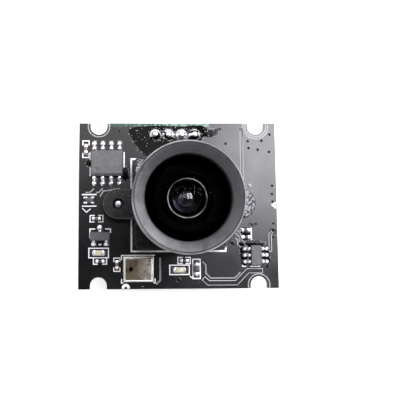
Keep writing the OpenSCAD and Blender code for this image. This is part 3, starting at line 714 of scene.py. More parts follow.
@dataclass(frozen=True)
class PolishedCan(Finish):
    """Plated can with a painted highlight along its rounded edges; its top is darker on the left and lighter
    towards the right.
    """

    node: str = "microphone_can"
    # width of the painted highlight along the rounded edges
    band: float = 0.2
    band_core: float = 0.7          # share of the band over which it fades in
    lighter_span: Xy = (0.35, 0.9)    # shares of the width over which the top turns lighter
    cloud_scale: float = 900.0
    # painted highlight colour of the edges
    rim_highlight: Rgb = (0.95, 0.93, 0.9)
    right_tone: Rgb = (0.42, 0.38, 0.33)

    def paint(self, graph: Graph, place: Socket) -> Socket:
        """Paints the highlight on the edges and lightens the right half; see Finish.paint."""
        low, high = (Vector(corner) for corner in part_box(self.node))
        middle, half = (low + high) / 2, (high - low) / 2
        places = graph.split(place)
        masks = []
        for axis in range(2):
            off = graph.math("ABSOLUTE", graph.math("SUBTRACT", places[axis], middle[axis]))
            masks.append(graph.ramp(off, half[axis] - self.band * MM,
                                    half[axis] - self.band * self.band_core * MM))
        start, end = (low.x + 2 * half.x * part for part in self.lighter_span)
        cloud = graph.ramp(graph.noise(place, self.cloud_scale, 4.0), 0.3, 0.6, 0.4, 1.0)
        share = graph.product(graph.ramp(places[0], start, end), cloud)
        lid = graph.blend(share, super().paint(graph, place), self.right_tone)
        return graph.blend(graph.math("MAXIMUM", *masks), lid, self.rim_highlight)


@dataclass(frozen=True)
class PolishedGlass(Finish):
    """Clear glass with an anti-reflective coat."""

    ior: float = 1.52

    def extend(self, graph: Graph, shader: bpy.types.Node) -> None:
        """Makes the shader transmit; see Finish.extend."""
        shader.inputs["Transmission Weight"].default_value = 1.0
        shader.inputs["IOR"].default_value = self.ior


@dataclass(frozen=True)
class ClearResin(Finish):
    """Cloudy resin over a light-emitting chip."""

    cloud: float = 0.3
    depth: float = 0.2

    def extend(self, graph: Graph, shader: bpy.types.Node) -> None:
        """Lets light a little way into the resin; see Finish.extend."""
        shader.inputs["Subsurface Weight"].default_value = self.cloud
        shader.inputs["Subsurface Scale"].default_value = self.depth * MM


FINISHES: tuple[Finish, ...] = (
    BoardLacquer(Slot.BOARD, (0.002, 0.0019, 0.0026), (0.0035, 0.0033, 0.0045), roughness=0.2, spread=0.025,
                 patch=3.0, grain=0.16, relief=0.0009, speck_share=0.02, speck_gap=0.9, speck_size=0.06),
    SlopedTrack(Slot.BOARD, (0.002, 0.0019, 0.0026), (0.0035, 0.0033, 0.0045), roughness=0.2, spread=0.025,
                patch=3.0, grain=0.16, relief=0.0009, look=Look.TRACK),
    Finish(Slot.INK, (0.93, 0.93, 0.95), (0.78, 0.78, 0.8), roughness=0.6, patch=0.35, grain=0.05,
           relief=0.002),
    Finish(Slot.TIN, (0.9, 0.9, 0.92), (0.7, 0.7, 0.72), roughness=0.32, metallic=1.0, patch=0.3,
           grain=0.1, relief=0.004),
    # tinned copper painted darker for the flat pads: painted shade
    Finish(Slot.TIN, (0.3, 0.3, 0.32), (0.16, 0.16, 0.18), roughness=0.14, metallic=1.0, patch=0.25,
           grain=0.12, relief=0.0015, look=Look.PAD),
    Finish(Slot.SOLDER, (0.96, 0.96, 0.98), (0.84, 0.84, 0.86), roughness=0.32, metallic=1.0, patch=0.25,
           grain=0.16, relief=0.008),
    DustAndSheenPlastic(Slot.HOLDER, (0.002, 0.002, 0.003), (0.005, 0.005, 0.0065), roughness=0.28, patch=0.25,
                 grain=0.13, relief=0.016, specular=0.32, speck_colour=(0.12, 0.12, 0.13), speck_gap=0.3,
                 speck_size=0.06, speck_share=0.2),
    Finish(Slot.SCREW, (0.66, 0.66, 0.68), (0.4, 0.4, 0.42), roughness=0.28, metallic=1.0, patch=0.3,
           relief=0.004),
    BarrelMetal(Slot.ANODISED, (0.026, 0.026, 0.029), (0.034, 0.033, 0.037), roughness=0.38, spread=0.04,
                patch=2.4, grain=0.1, relief=0.0012),
    GlintCollar(Slot.FLAT_BLACK, (0.0004, 0.0004, 0.0005), (0.0008, 0.0008, 0.001), roughness=0.6,
               patch=0.8, relief=0.002, specular=0.005),
    PolishedGlass(Slot.GLASS, (0.92, 0.94, 0.96), (0.9, 0.92, 0.95), roughness=0.0, spread=0.0, relief=0.0,
                  ior=1.045),
    PolishedGlass(Slot.GLASS, (0.14, 0.13, 0.17), (0.1, 0.1, 0.13), roughness=0.09, spread=0.01, relief=0.0,
                  ior=1.52, look=Look.INNER_GLASS),
    PolishedGlass(Slot.FILTER, (0.5, 0.68, 0.75), (0.46, 0.64, 0.72), roughness=0.02, spread=0.01,
                  relief=0.0),
    Finish(Slot.SENSOR, (0.05, 0.055, 0.06), (0.09, 0.07, 0.1), roughness=0.25, patch=1.5, relief=0.001),
    Finish(Slot.EPOXY, (0.07, 0.07, 0.075), (0.09, 0.09, 0.095), roughness=0.55, patch=0.5, grain=0.07,
           relief=0.006),
    PolishedCan(Slot.GOLD, (0.13, 0.105, 0.07), (0.08, 0.065, 0.045), roughness=0.3, spread=0.08,
                metallic=0.9, patch=0.9, amount=0.6, grain=0.12, relief=0.003),
    Finish(Slot.DARK_CERAMIC, (0.035, 0.033, 0.035), (0.06, 0.055, 0.06), roughness=0.45, patch=0.2,
           relief=0.006),
    Finish(Slot.TAN_CERAMIC, (0.2, 0.15, 0.11), (0.14, 0.1, 0.075), roughness=0.5, patch=0.3, relief=0.005),
    Finish(Slot.LED_BODY, (0.86, 0.84, 0.8), (0.74, 0.7, 0.66), roughness=0.5, patch=0.4, relief=0.003),
    ClearResin(Slot.LED_RESIN, (0.56, 0.56, 0.38), (0.68, 0.67, 0.52), roughness=0.16, patch=0.35,
               relief=0.002),
    Finish(Slot.NYLON, (0.78, 0.76, 0.69), (0.72, 0.69, 0.6), roughness=0.45, patch=1.5, relief=0.004),
    # the grey specks on the flux are painted highlights
    Finish(Slot.FLUX, (0.0012, 0.0009, 0.001), (0.003, 0.002, 0.002), roughness=0.06, spread=0.03, patch=0.5,
           grain=0.6, relief=0.004, specular=0.1, speck_colour=(0.3, 0.28, 0.28), speck_gap=0.4,
           speck_size=0.05, speck_share=0.1),
    # light grey of the dark flux crumbs: painted highlights
    Finish(Slot.FLUX, (0.5, 0.48, 0.49), (0.22, 0.2, 0.2), roughness=0.2, spread=0.08, patch=0.1, grain=0.08,
           relief=0.01, look=Look.CRUST),
    Finish(Slot.FLUX, (0.35, 0.35, 0.36), (0.2, 0.2, 0.21), roughness=0.15, spread=0.06, patch=0.3, grain=0.2,
           relief=0.01, look=Look.GLUE),
    Finish(Slot.NICKEL, (0.72, 0.72, 0.74), (0.6, 0.6, 0.62), roughness=0.26, metallic=1.0, patch=0.8,
           relief=0.003),
)


# ---------------------------------------------------------------- forms


LEVEL_NORMAL = 0.9                  # a face whose normal rises more than this is level
FLAT_TURN = 0.5                     # triangles that turn less than this, in degrees, make one face
RING_FACES = 8                      # faces round the section of a rim
SMALL_FACES = 12                    # faces round a small dome
CRUMB_FACES = 8
CRUMB_STRETCH: Xy = (0.7, 1.4)      # length of a crumb in its widths
CRUMB_FLATNESS = 0.6                # its height in its widths


def box_mm(node: str) -> tuple[Vector, Vector]:
    """Lowest and highest corner of a CAD node in millimetres.

    Args:
        node: name of the node.

    Returns:
        Both corners.
    """
    low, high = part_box(node)
    return Vector(low) / MM, Vector(high) / MM


def centre_mm(node: str) -> Vector:
    """Middle of a CAD node's box in millimetres."""
    low, high = box_mm(node)
    return (low + high) / 2


def cad_form(node: str) -> Form:
    """Copies a CAD node's mesh, with its loose triangles merged into whole faces.

    Args:
        node: name of the node.

    Returns:
        The copy in millimetres.
    """
    form = bmesh.new()
    form.from_mesh(frame["nodes"][node].data)
    bmesh.ops.scale(form, vec=(1 / MM,) * 3, verts=form.verts)
    bmesh.ops.remove_doubles(form, verts=form.verts, dist=TOUCH)
    bmesh.ops.dissolve_limit(form, angle_limit=math.radians(FLAT_TURN), verts=form.verts, edges=form.edges)
    return form


def round_edges(form: Form, width: float, segments: int = 2, angle: float = 30.0,
                where: EdgeTest | None = None) -> None:
    """Rounds the sharp edges of a form.

    Args:
        form: the form to change.
        width: width of the rounding.
        segments: faces across it.
        angle: edges sharper than this, in degrees, are rounded.
        where: test that an edge has to pass, or None for all.
    """
    limit = math.radians(angle)
    edges = [e for e in form.edges if e.is_manifold and e.calc_face_angle(0.0) > limit
             and (where is None or where(e))]
    bmesh.ops.bevel(form, geom=edges, offset=width, offset_type="OFFSET", segments=segments, profile=0.5,
                    affect="EDGES", clamp_overlap=True, material=-1)


def lathe(outline: Sequence[Xy], steps: int) -> Form:
    """Turns a closed outline of (radius, height) points round the Z axis.

    Args:
        outline: corners of the section.
        steps: faces round the axis.

    Returns:
        The turned form, closed and facing outwards.
    """
    form = bmesh.new()
    verts = [form.verts.new((radius, 0.0, z)) for radius, z in outline]
    edges = [form.edges.new(pair) for pair in zip(verts, verts[1:] + verts[:1])]
    bmesh.ops.spin(form, geom=verts + edges, cent=(0, 0, 0), axis=(0, 0, 1), dvec=(0, 0, 0),
                   angle=math.tau, steps=steps, use_merge=True, use_duplicate=False)
    bmesh.ops.remove_doubles(form, verts=form.verts, dist=TOUCH / 5)
    bmesh.ops.recalc_face_normals(form, faces=form.faces)
    return form


def place_part(form: Form, part: Form, matrix: Matrix) -> None:
    """Adds one form to another and frees it.

    Args:
        form: the form that grows.
        part: the form that is added.
        matrix: its place.
    """
    part.transform(matrix)
    mesh = bpy.data.meshes.new("part")
    part.to_mesh(mesh)
    part.free()
    form.from_mesh(mesh)
    bpy.data.meshes.remove(mesh)


def stretch(at: Sequence[float], radii: Sequence[float], turn: float) -> Matrix:
    """Matrix that stretches a form of radius 1, turns it round Z in degrees and moves it."""
    return (Matrix.Translation(at) @ Matrix.Rotation(math.radians(turn), 4, "Z")
            @ Matrix.Diagonal((*radii, 1.0)))


def dome(form: Form, at: Sequence[float], radii: Sequence[float], turn: float = 0.0,
         fineness: int = 16) -> None:
    """Adds a closed half ellipsoid that stands on its flat side.

    Args:
        form: the form that grows.
        at: centre of the flat side.
        radii: half sizes along its own X, Y and Z.
        turn: turn round Z in degrees.
        fineness: faces round it.
    """
    part = bmesh.new()
    bmesh.ops.create_uvsphere(part, u_segments=fineness, v_segments=fineness, radius=1.0)
    low = [v for v in part.verts if v.co.z < -TOUCH]
    bmesh.ops.delete(part, geom=low, context="VERTS")
    bmesh.ops.holes_fill(part, edges=[e for e in part.edges if e.is_boundary])
    bmesh.ops.recalc_face_normals(part, faces=part.faces)
    place_part(form, part, stretch(at, radii, turn))


def crumb(form: Form, at: Sequence[float], size: float, chance: random.Random) -> None:
    """Adds a crumb of dry flux, flattened, and stretched and turned by chance.

    Args:
        form: the form that grows.
        at: its place.
        size: its half width.
        chance: source of its stretch and turn.
    """
    radii = (size, size * chance.uniform(*CRUMB_STRETCH), size * CRUMB_FLATNESS)
    dome(form, at, radii, chance.uniform(0, 180), CRUMB_FACES)


def torus(form: Form, at: Sequence[float], ring: float, wire: float, height: float, steps: int) -> None:
    """Adds a ring with a rounded section.

    Args:
        form: the form that grows.
        at: its centre.
        ring: radius of the ring.
        wire: half width of its section.
        height: half height of its section.
        steps: faces along it.
    """
    turns = [math.tau * i / RING_FACES for i in range(RING_FACES)]
    section = [(ring + wire * math.cos(turn), height * math.sin(turn)) for turn in turns]
    place_part(form, lathe(section, steps), Matrix.Translation(at))


class Workshop:
    """Finishes forms as pieces of the scene and keeps the materials."""

    def __init__(self) -> None:
        """Builds every finish once."""
        self.materials: dict[Slot | Look, bpy.types.Material] = {
            finish.look or finish.slot: finish.build() for finish in FINISHES}
        self.count = 0

    def dress_frame(self) -> None:
        """Gives every CAD node the finish of its own slot."""
        by_name = {slot.value: self.materials[slot] for slot in Slot}
        for subpart in frame["record"]["subparts"]:
            node = frame["nodes"][subpart["node"]]
            for holder in node.material_slots:
                look = NODE_LOOKS.get(subpart["node"])
                holder.material = self.materials[look] if look else by_name[subpart["material_slot"]]
        log.info("%d CAD nodes dressed", len(frame["nodes"]))

    def finish(self, name: str, form: Form, slot: Slot, nodes: Iterable[str] = (),
               smooth: float = 38.0, look: Look | None = None) -> None:
        """Makes a form in millimetres a piece of the scene.

        Args:
            name: name of the piece.
            form: its shape, freed here.
            slot: the record slot of its finish.
            nodes: CAD nodes that it stands for.
            smooth: edges flatter than this, in degrees, are shaded smooth.
            look: finish to use in place of the slot's own.
        """
        bmesh.ops.scale(form, vec=(MM,) * 3, verts=form.verts)
        mesh = bpy.data.meshes.new(name)
        form.to_mesh(mesh)
        form.free()
        mesh.materials.append(self.materials[look or slot])
        mesh.shade_smooth()
        mesh.set_sharp_from_angle(angle=math.radians(smooth))
        piece = bpy.data.objects.new(name, mesh)
        bpy.context.scene.collection.objects.link(piece)
        even = piece.modifiers.new("even_shading", "WEIGHTED_NORMAL")
        even.keep_sharp = True
        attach(piece, "root")
        nodes = tuple(nodes)
        if nodes:
            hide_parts(*nodes)
        self.count += 1
        log.info("%-28s %6d faces", name, len(mesh.polygons))

    def rounded_node(self, node: str, slot: Slot, width: float, segments: int = 2, angle: float = 30.0,
                     where: EdgeTest | None = None) -> None:
        """Replaces a CAD node by a copy with rounded edges.

        Args:
            node: name of the node.
            slot: slot of its finish.
            width: width of the rounding.
            segments: faces across it.
            angle: edges sharper than this, in degrees, are rounded.
            where: test that an edge has to pass, or None for all.
        """
        form = cad_form(node)
        round_edges(form, width, segments, angle, where)
        self.finish(f"{node}_dressed", form, slot, [node])


# ---------------------------------------------------------------- assemblies


@dataclass
class CircuitBoard:
    """Board with its raised tracks, lacquered hole rims and flat black discs in the holes as painted shade.
    """

    edge_round: float = 0.05
    shoulder: float = 0.06
    thin_shoulder: float = 0.045
    thin_track: float = 0.2
    track_fall: float = 0.026
    track_band: float = 0.005       # faces within this depth of the highest are the tracks' tops
    track_smooth: float = 12.0
    board_angle: float = 60.0       # edges of the board sharper than this, in degrees, are rounded
    open_rings: tuple[Xyz, ...] = (     # place and radius of each rim
        (8.06, -5.82, 0.4), (11.05, -3.04, 0.36), (14.33, -3.91, 0.42), (-0.08, -11.23, 0.34))
    tented: tuple[Xy, ...] = (
        (14.41, -2.88), (14.35, -4.95), (11.74, -2.92), (7.37, 9.32), (12.91, 9.77), (12.29, 8.39),
        (14.02, 8.04), (14.16, 10.73), (14.34, 2.84), (14.33, 1.58), (14.38, 0.42), (10.78, 9.69),
        (10.89, 8.63), (9.71, 11.53), (-8.9, 11.2), (2.87, -11.69))
    rim: Xy = (0.09, 0.06)          # half width and half height of an open hole's rim
    tented_rim: Xyz = (0.15, 0.06, 0.05)    # radius, half width and half height
    tented_shade: float = 0.09
    shade_gap: float = 0.2          # from the middle of a rim to the edge of the painted shade in its hole
    shade_height: float = 0.012
    rim_faces: int = 32
    tented_faces: int = 16
    shade_faces: int = 20

    def build(self, shop: Workshop) -> None:
        """Builds and dresses the pieces.

        Args:
            shop: finishes the pieces.
        """
        top = box_mm("circuit_board")[1].z
        shop.rounded_node("circuit_board", Slot.BOARD, self.edge_round, 2, self.board_angle)
        self.tracks(shop)
        self.vias(shop, top)

    def tracks(self, shop: Workshop) -> None:
        """Slopes the sides of the tracks and rims, as lacquer runs over copper.

        Args:
            shop: finishes the pieces.
        """
        form = cad_form("covered_traces")
        level = max(v.co.z for v in form.verts)
        lids = [f for f in form.faces
                if f.normal.z > LEVEL_NORMAL and f.calc_center_median().z > level - self.track_band]
        narrow = [f for f in lids if min(e.calc_length() for e in f.edges) < self.thin_track]
        wide = [f for f in lids if f not in set(narrow)]
        for group, shoulder in ((narrow, self.thin_shoulder), (wide, self.shoulder)):
            if group:
                result = bmesh.ops.inset_region(form, faces=group, depth=0.0, use_even_offset=True,
                                                thickness=shoulder)
                inner = {v for f in group for v in f.verts}
                for vert in {v for f in result["faces"] for v in f.verts} - inner:
                    vert.co.z = level - self.track_fall
        shop.finish("covered_traces_dressed", form, Slot.BOARD, ["covered_traces"], self.track_smooth,
                    Look.TRACK)

    def vias(self, shop: Workshop, top: float) -> None:
        """Adds the lacquered rims of the plated holes and flat black discs in them as painted shade.

        Args:
            shop: finishes the pieces.
            top: height of the board's front face.
        """
        rims, shade_discs = bmesh.new(), bmesh.new()
        for x, y, radius in self.open_rings:
            torus(rims, (x, y, top), radius, *self.rim, self.rim_faces)
        for x, y in self.tented:
            torus(rims, (x, y, top), *self.tented_rim, self.tented_faces)
            # flat black disc in each tented hole: painted shade
            dome(shade_discs, (x, y, top), (self.tented_shade, self.tented_shade, self.shade_height), 0.0,
                 SMALL_FACES)
        for x, y, radius in self.open_rings:
            # flat black disc in each open hole: painted shade
            shade_r = radius - self.shade_gap
            dome(shade_discs, (x, y, top), (shade_r, shade_r, self.shade_height), 0.0, self.shade_faces)
        shop.finish("hole_rims", rims, Slot.BOARD)
        shop.finish("hole_shade_discs", shade_discs, Slot.FLAT_BLACK)


@dataclass
class LensHolder:
    """Moulded holder with its two screws."""

    edge_round: float = 0.12
    screw_round: float = 0.05
    angle: float = 40.0             # edges sharper than this, in degrees, are rounded

    def build(self, shop: Workshop) -> None:
        """Builds and dresses the pieces.

        Args:
            shop: finishes the pieces.
        """
        shop.rounded_node("lens_holder", Slot.HOLDER, self.edge_round, 2, self.angle)
        shop.rounded_node("holder_screws", Slot.SCREW, self.screw_round, 2, self.angle)


@dataclass
class Lens:
    """Screw-in lens: barrel, front ring, glass and inner rings."""

    edge_round: float = 0.06
    ring_round: float = 0.03
    ring_angle: float = 18.0        # edges sharper than this, in degrees, are rounded
    spacer_angle: float = 25.0
    bore_r: float = 6.25
    bore_from: float = 12.0

    def build(self, shop: Workshop) -> None:
        """Builds and dresses the pieces.

        Args:
            shop: finishes the pieces.
        """
        shop.rounded_node("lens_barrel", Slot.ANODISED, self.edge_round, where=self.on_the_outside)
        shop.rounded_node("front_retaining_ring", Slot.ANODISED, self.ring_round, 2, self.ring_angle)
        shop.rounded_node("front_spacer", Slot.FLAT_BLACK, self.ring_round, 2, self.spacer_angle)

    def on_the_outside(self, edge: bmesh.types.BMEdge) -> bool:
        """Tests whether an edge of the barrel lies outside its front bore.

        Args:
            edge: the edge.

        Returns:
            True if it does.
        """
        middle = (edge.verts[0].co + edge.verts[1].co) / 2
        return middle.xy.length > self.bore_r or middle.z < self.bore_from


@dataclass
class LeadedChips:
    """Chips with gull-wing leads, their solder and their feet."""

    body_round: float = 0.05
    lead_round: float = 0.045
    memory_row: int = 4             # leads on a side
    memory_pitch: float = 1.27
    memory_toe: Xyz = (0.4, 0.44, 0.42)
    memory_heel: Xyz = (0.31, 0.3, 0.3)
    memory_inset: Xy = (0.06, 0.86)     # of toe and heel from the end of the lead
    memory_rise: float = 0.62
    regulator_tab: Xyz = (0.42, 0.46, 0.2)
    regulator_tab_y: float = 1.25
    regulator_toe: Xyz = (0.36, 0.33, 0.3)
    regulator_toe_at: Xy = (0.95, -1.12)
    switch_pitch: float = 0.95
    switch_toe: Xyz = (0.34, 0.3, 0.34)
    switch_turn: float = 8.0
    switch_heel: Xyz = (0.24, 0.24, 0.2)
    switch_reach: Xy = (1.62, 1.02)     # of toe and heel from the middle of the chip
    switch_rise: float = 0.45

    def build(self, shop: Workshop) -> None:
        """Builds and dresses the pieces.

        Args:
            shop: finishes the pieces.
        """
        solder = {"memory_chip": self.memory_toes, "regulator": self.regulator_toes,
                  "power_switch": self.switch_toes}
        for node in solder:
            shop.rounded_node(node, Slot.EPOXY, self.body_round)
            shop.rounded_node(f"{node}_leads", Slot.TIN, self.lead_round)
        top = box_mm("solder_pads")[1].z
        for node, toes in solder.items():
            form = bmesh.new()
            toes(form, top)
            shop.finish(f"{node}_solder", form, Slot.SOLDER)

    def memory_toes(self, form: Form, top: float) -> None:
        """Adds the solder in front of and behind each foot of the memory chip.

        Args:
            form: the form that grows.
            top: height of the pads.
        """
        middle = centre_mm("memory_chip_leads")
        reach = (box_mm("memory_chip_leads")[1] - middle).y
        toe, heel = (reach - inset for inset in self.memory_inset)
        for i in range(self.memory_row):
            x = middle.x + (i - (self.memory_row - 1) / 2) * self.memory_pitch
            for side in (-1, 1):
                dome(form, (x, middle.y + side * toe, top), self.memory_toe)
                dome(form, (x, middle.y + side * heel, top + self.memory_rise), self.memory_heel)

    def regulator_toes(self, form: Form, top: float) -> None:
        """Adds the solder of the regulator's three leads.

        Args:
            form: the form that grows.
            top: height of the pads.
        """
        middle = centre_mm("regulator")
        dome(form, (middle.x, middle.y + self.regulator_tab_y, top), self.regulator_tab)
        x, y = self.regulator_toe_at
        for side in (-1, 1):
            dome(form, (middle.x + side * x, middle.y + y, top), self.regulator_toe)

    def switch_toes(self, form: Form, top: float) -> None:
        """Adds the solder of the six leads of the power switch.

        Args:
            form: the form that grows.
            top: height of the pads.
        """
        middle = centre_mm("power_switch")
        toe, heel = self.switch_reach
        for i in (-1, 0, 1):
            y = middle.y + i * self.switch_pitch
            for side in (-1, 1):
                dome(form, (middle.x + side * toe, y, top), self.switch_toe, self.switch_turn * i * side)
                dome(form, (middle.x + side * heel, y, top + self.switch_rise), self.switch_heel)


@dataclass(frozen=True)
class SmallPart:
    """Two-terminal part: its node, its finish and how its ends lie."""

    node: str
    slot: Slot
    upright: bool = False
    fillet: float = 0.17


@dataclass
class SmallParts:
    """Resistors, capacitors, bead and choke with their solder."""

    body_round: float = 0.03
    cap_round: float = 0.06
    solder_half: float = 0.27       # half width of the solder at an end
    solder_climb: float = 0.8       # share of the part's height that it climbs
    pair_half: float = 0.25         # half depth of one of the switch's resistors
    pair_fillet: float = 0.2
    choke_toe: Xyz = (0.22, 0.19, 0.3)
    choke_inset: float = 0.13
    parts: tuple[SmallPart, ...] = (
        SmallPart("reset_capacitor", Slot.TAN_CERAMIC, True),
        SmallPart("supply_capacitor", Slot.TAN_CERAMIC),
        SmallPart("left_led_resistor", Slot.DARK_CERAMIC),
        SmallPart("microphone_capacitor", Slot.TAN_CERAMIC, True),
        SmallPart("right_led_resistor", Slot.DARK_CERAMIC),
        SmallPart("ferrite_bead", Slot.DARK_CERAMIC, True, 0.22))

    def build(self, shop: Workshop) -> None:
        """Builds and dresses the pieces.

        Args:
            shop: finishes the pieces.
        """
        top = box_mm("solder_pads")[1].z
        solder = bmesh.new()
        for part in self.parts:
            shop.rounded_node(part.node, part.slot, self.body_round)
            shop.rounded_node(f"{part.node}_terminals", Slot.SOLDER, self.cap_round)
            low, high = box_mm(f"{part.node}_terminals")
            self.fillets(solder, low, high, top, part.upright, part.fillet)
        for node, slot in (("switch_resistors", Slot.DARK_CERAMIC), ("usb_choke", Slot.DARK_CERAMIC)):
            shop.rounded_node(node, slot, self.body_round)
        shop.rounded_node("switch_resistor_terminals", Slot.SOLDER, self.cap_round)
        shop.rounded_node("usb_choke_terminals", Slot.SOLDER, self.cap_round)
        low, high = box_mm("switch_resistor_terminals")
        half = self.pair_half
        for y in (low.y + half, high.y - half):
            self.fillets(solder, Vector((low.x, y - half, low.z)), Vector((high.x, y + half, high.z)), top,
                         False, self.pair_fillet)
        low, high = box_mm("usb_choke_terminals")
        for x in (low.x, high.x):
            for y in (low.y + self.choke_inset, high.y - self.choke_inset):
                dome(solder, (x, y, top), self.choke_toe, 0.0, SMALL_FACES)
        shop.finish("small_part_solder", solder, Slot.SOLDER)

    def fillets(self, form: Form, low: Vector, high: Vector, top: float, upright: bool,
                reach: float) -> None:
        """Adds the solder at both ends of a part.

        Args:
            form: the form that grows.
            low: lowest corner of the part's ends.
            high: highest corner of the part's ends.
            top: height of the pads.
            upright: True if the part lies along Y.
            reach: how far the solder runs out.
        """
        middle = (low + high) / 2
        rise = (high.z - top) * self.solder_climb
        for side in (-1, 1):
            if upright:
                end = (middle.x, middle.y + side * (high.y - middle.y), top)
                radii = (self.solder_half, reach, rise)
            else:
                end = (middle.x + side * (high.x - middle.x), middle.y, top)
                radii = (reach, self.solder_half, rise)
            dome(form, end, radii, 0.0, SMALL_FACES)


@dataclass
class Microphone:
    """Metal can on its base, with the sound port and a flat black disc in it as painted shade."""

    can_round: float = 0.13
    can_angle: float = 35.0         # edges sharper than this, in degrees, are rounded
    base_round: float = 0.06
    port_depth: float = 0.3
    port_r: float = 0.32
    port_faces: int = 24
    port: Xy = (-1.12, 0.02)

    def build(self, shop: Workshop) -> None:
        """Builds and dresses the pieces.

        Args:
            shop: finishes the pieces.
        """
        shop.rounded_node("microphone_base", Slot.GOLD, self.base_round)
        shop.rounded_node("microphone_can", Slot.GOLD, self.can_round, 3, self.can_angle)
        middle = centre_mm("microphone_can")
        depth = box_mm("microphone_can")[1].z - self.port_depth
        port = (middle.x + self.port[0], middle.y + self.port[1], depth)
        # flat black disc down in the sound port: painted shade
        disc = bmesh.new()
        bmesh.ops.create_circle(disc, cap_ends=True, segments=self.port_faces, radius=self.port_r)
        bmesh.ops.translate(disc, vec=port, verts=disc.verts)
        shop.finish("port_shade_disc", disc, Slot.FLAT_BLACK)


@dataclass
class Leds:
    """Two light-emitting diodes in their printed frames."""

    edge_round: float = 0.04
    lens_round: float = 0.06
    toe: Xyz = (0.12, 0.34, 0.14)

    def build(self, shop: Workshop) -> None:
        """Builds and dresses the pieces.

        Args:
            shop: finishes the pieces.
        """
        top = box_mm("solder_pads")[1].z
        solder = bmesh.new()
        for side in ("left", "right"):
            shop.rounded_node(f"{side}_led_base", Slot.LED_BODY, self.edge_round)
            shop.rounded_node(f"{side}_led_lens", Slot.LED_RESIN, self.lens_round, 3)
            shop.rounded_node(f"{side}_led_terminals", Slot.SOLDER, self.edge_round)
            y = centre_mm(f"{side}_led_terminals").y
            for corner in box_mm(f"{side}_led_terminals"):
                dome(solder, (corner.x, y, top), self.toe)
        shop.finish("led_solder", solder, Slot.SOLDER)


@dataclass
class WireHeader:
    """Header behind the board, its pins, their solder and the dried flux round them."""

    housing_round: float = 0.12
    pin_round: float = 0.06
    film_round: float = 0.02
    film_angle: float = 60.0        # edges sharper than this, in degrees, are rounded
    end_gap: float = 0.85           # from the end of the row to its first and last pin
    cone: tuple[Xy, ...] = (        # distance from the pin's axis and height along a joint's hollow side
        (0.87, 0.0), (0.84, 0.07), (0.68, 0.17), (0.52, 0.33), (0.42, 0.55), (0.37, 0.68), (0.28, 0.72))
    cone_faces: int = 40
    cone_smooth: float = 60.0
    covers: tuple[tuple[Drop, ...], ...] = (    # flux on each joint
        (((0.17, -0.17), (0.66, 0.58, 0.74), 20.0), ((-0.55, -0.5), (0.3, 0.25, 0.3), 0.0)),
        (((-0.06, -0.02), (0.68, 0.55, 0.745), 30.0), ((0.3, -0.55), (0.5, 0.25, 0.45), 10.0),
         ((-0.55, 0.35), (0.25, 0.2, 0.3), 0.0)),
        (((0.02, -0.05), (0.42, 0.38, 0.748), 0.0),),
        (((0.0, 0.45), (0.66, 0.26, 0.66), 0.0), ((-0.05, -0.36), (0.8, 0.44, 0.72), 4.0),
         ((-0.6, 0.35), (0.22, 0.2, 0.35), 0.0)))
    bead_count: int = 420
    bead_seed: int = 11
    bead_size: Xy = (0.025, 0.075)
    bead_stray: float = 0.3         # how far a crumb strays from the edge of the film
    bead_inward: float = 0.5        # the innermost lies this share of the way to the row's middle
    bead_sink: float = 0.01
    bead_limit: float = 12.35       # none lies past this Y, so they stay on the board
    row_y: float = 10.2

    def build(self, shop: Workshop) -> None:
        """Builds and dresses the pieces.

        Args:
            shop: finishes the pieces.
        """
        shop.rounded_node("header_housing", Slot.NYLON, self.housing_round, 3)
        shop.rounded_node("header_pins", Slot.TIN, self.pin_round)
        self.joints(shop)
        shop.rounded_node("flux_residue", Slot.FLUX, self.film_round, 2, self.film_angle)
        self.beads(shop)

    def joints(self, shop: Workshop) -> None:
        """Turns a hollow-sided cone of solder round each pin and covers parts of it with flux.

        Args:
            shop: finishes the pieces.
        """
        low, high = box_mm("header_solder")
        start, end = low.x + self.end_gap, high.x - self.end_gap
        y = (low.y + high.y) / 2
        side = [(radius, low.z + rise) for radius, rise in self.cone]
        outline = [(0.0, low.z), *side, (0.0, side[-1][1])]
        solder, flux = bmesh.new(), bmesh.new()
        for i, covers in enumerate(self.covers):
            x = start + (end - start) * i / (len(self.covers) - 1)
            place_part(solder, lathe(outline, self.cone_faces), Matrix.Translation((x, y, 0.0)))
            for (dx, dy), radii, turn in covers:
                dome(flux, (x + dx, y + dy, low.z), radii, turn)
        shop.finish("header_solder_dressed", solder, Slot.SOLDER, ["header_solder"], self.cone_smooth)
        shop.finish("joint_flux", flux, Slot.FLUX)

    def beads(self, shop: Workshop) -> None:
        """Scatters crumbs of dry flux along the edge of the film and a few over it.

        Args:
            shop: finishes the pieces.
        """
        film = cad_form("flux_residue")
        top = box_mm("flux_residue")[1].z
        edge = [v.co.copy() for v in film.verts if v.co.z > top - self.bead_sink]
        film.free()
        chance = random.Random(self.bead_seed)
        form = bmesh.new()
        stray = self.bead_stray
        for _ in range(self.bead_count):
            spot = chance.choice(edge)
            inward = chance.random() ** 3 * self.bead_inward
            x = spot.x * (1 - inward) + chance.uniform(-stray, stray)
            y = spot.y + (self.row_y - spot.y) * inward + chance.uniform(-stray, stray)
            at = (x, min(y, self.bead_limit), top - self.bead_sink)
            crumb(form, at, chance.uniform(*self.bead_size), chance)
        # the crumbs are painted light grey as highlights
        shop.finish("flux_beads", form, Slot.FLUX, look=Look.CRUST)


@dataclass(frozen=True)
class Puddle:
    """Flat drop on the board: place, half sizes, height and turn."""

    at: Xy
    radii: Xy
    height: float = 0.035
    turn: float = 0.0


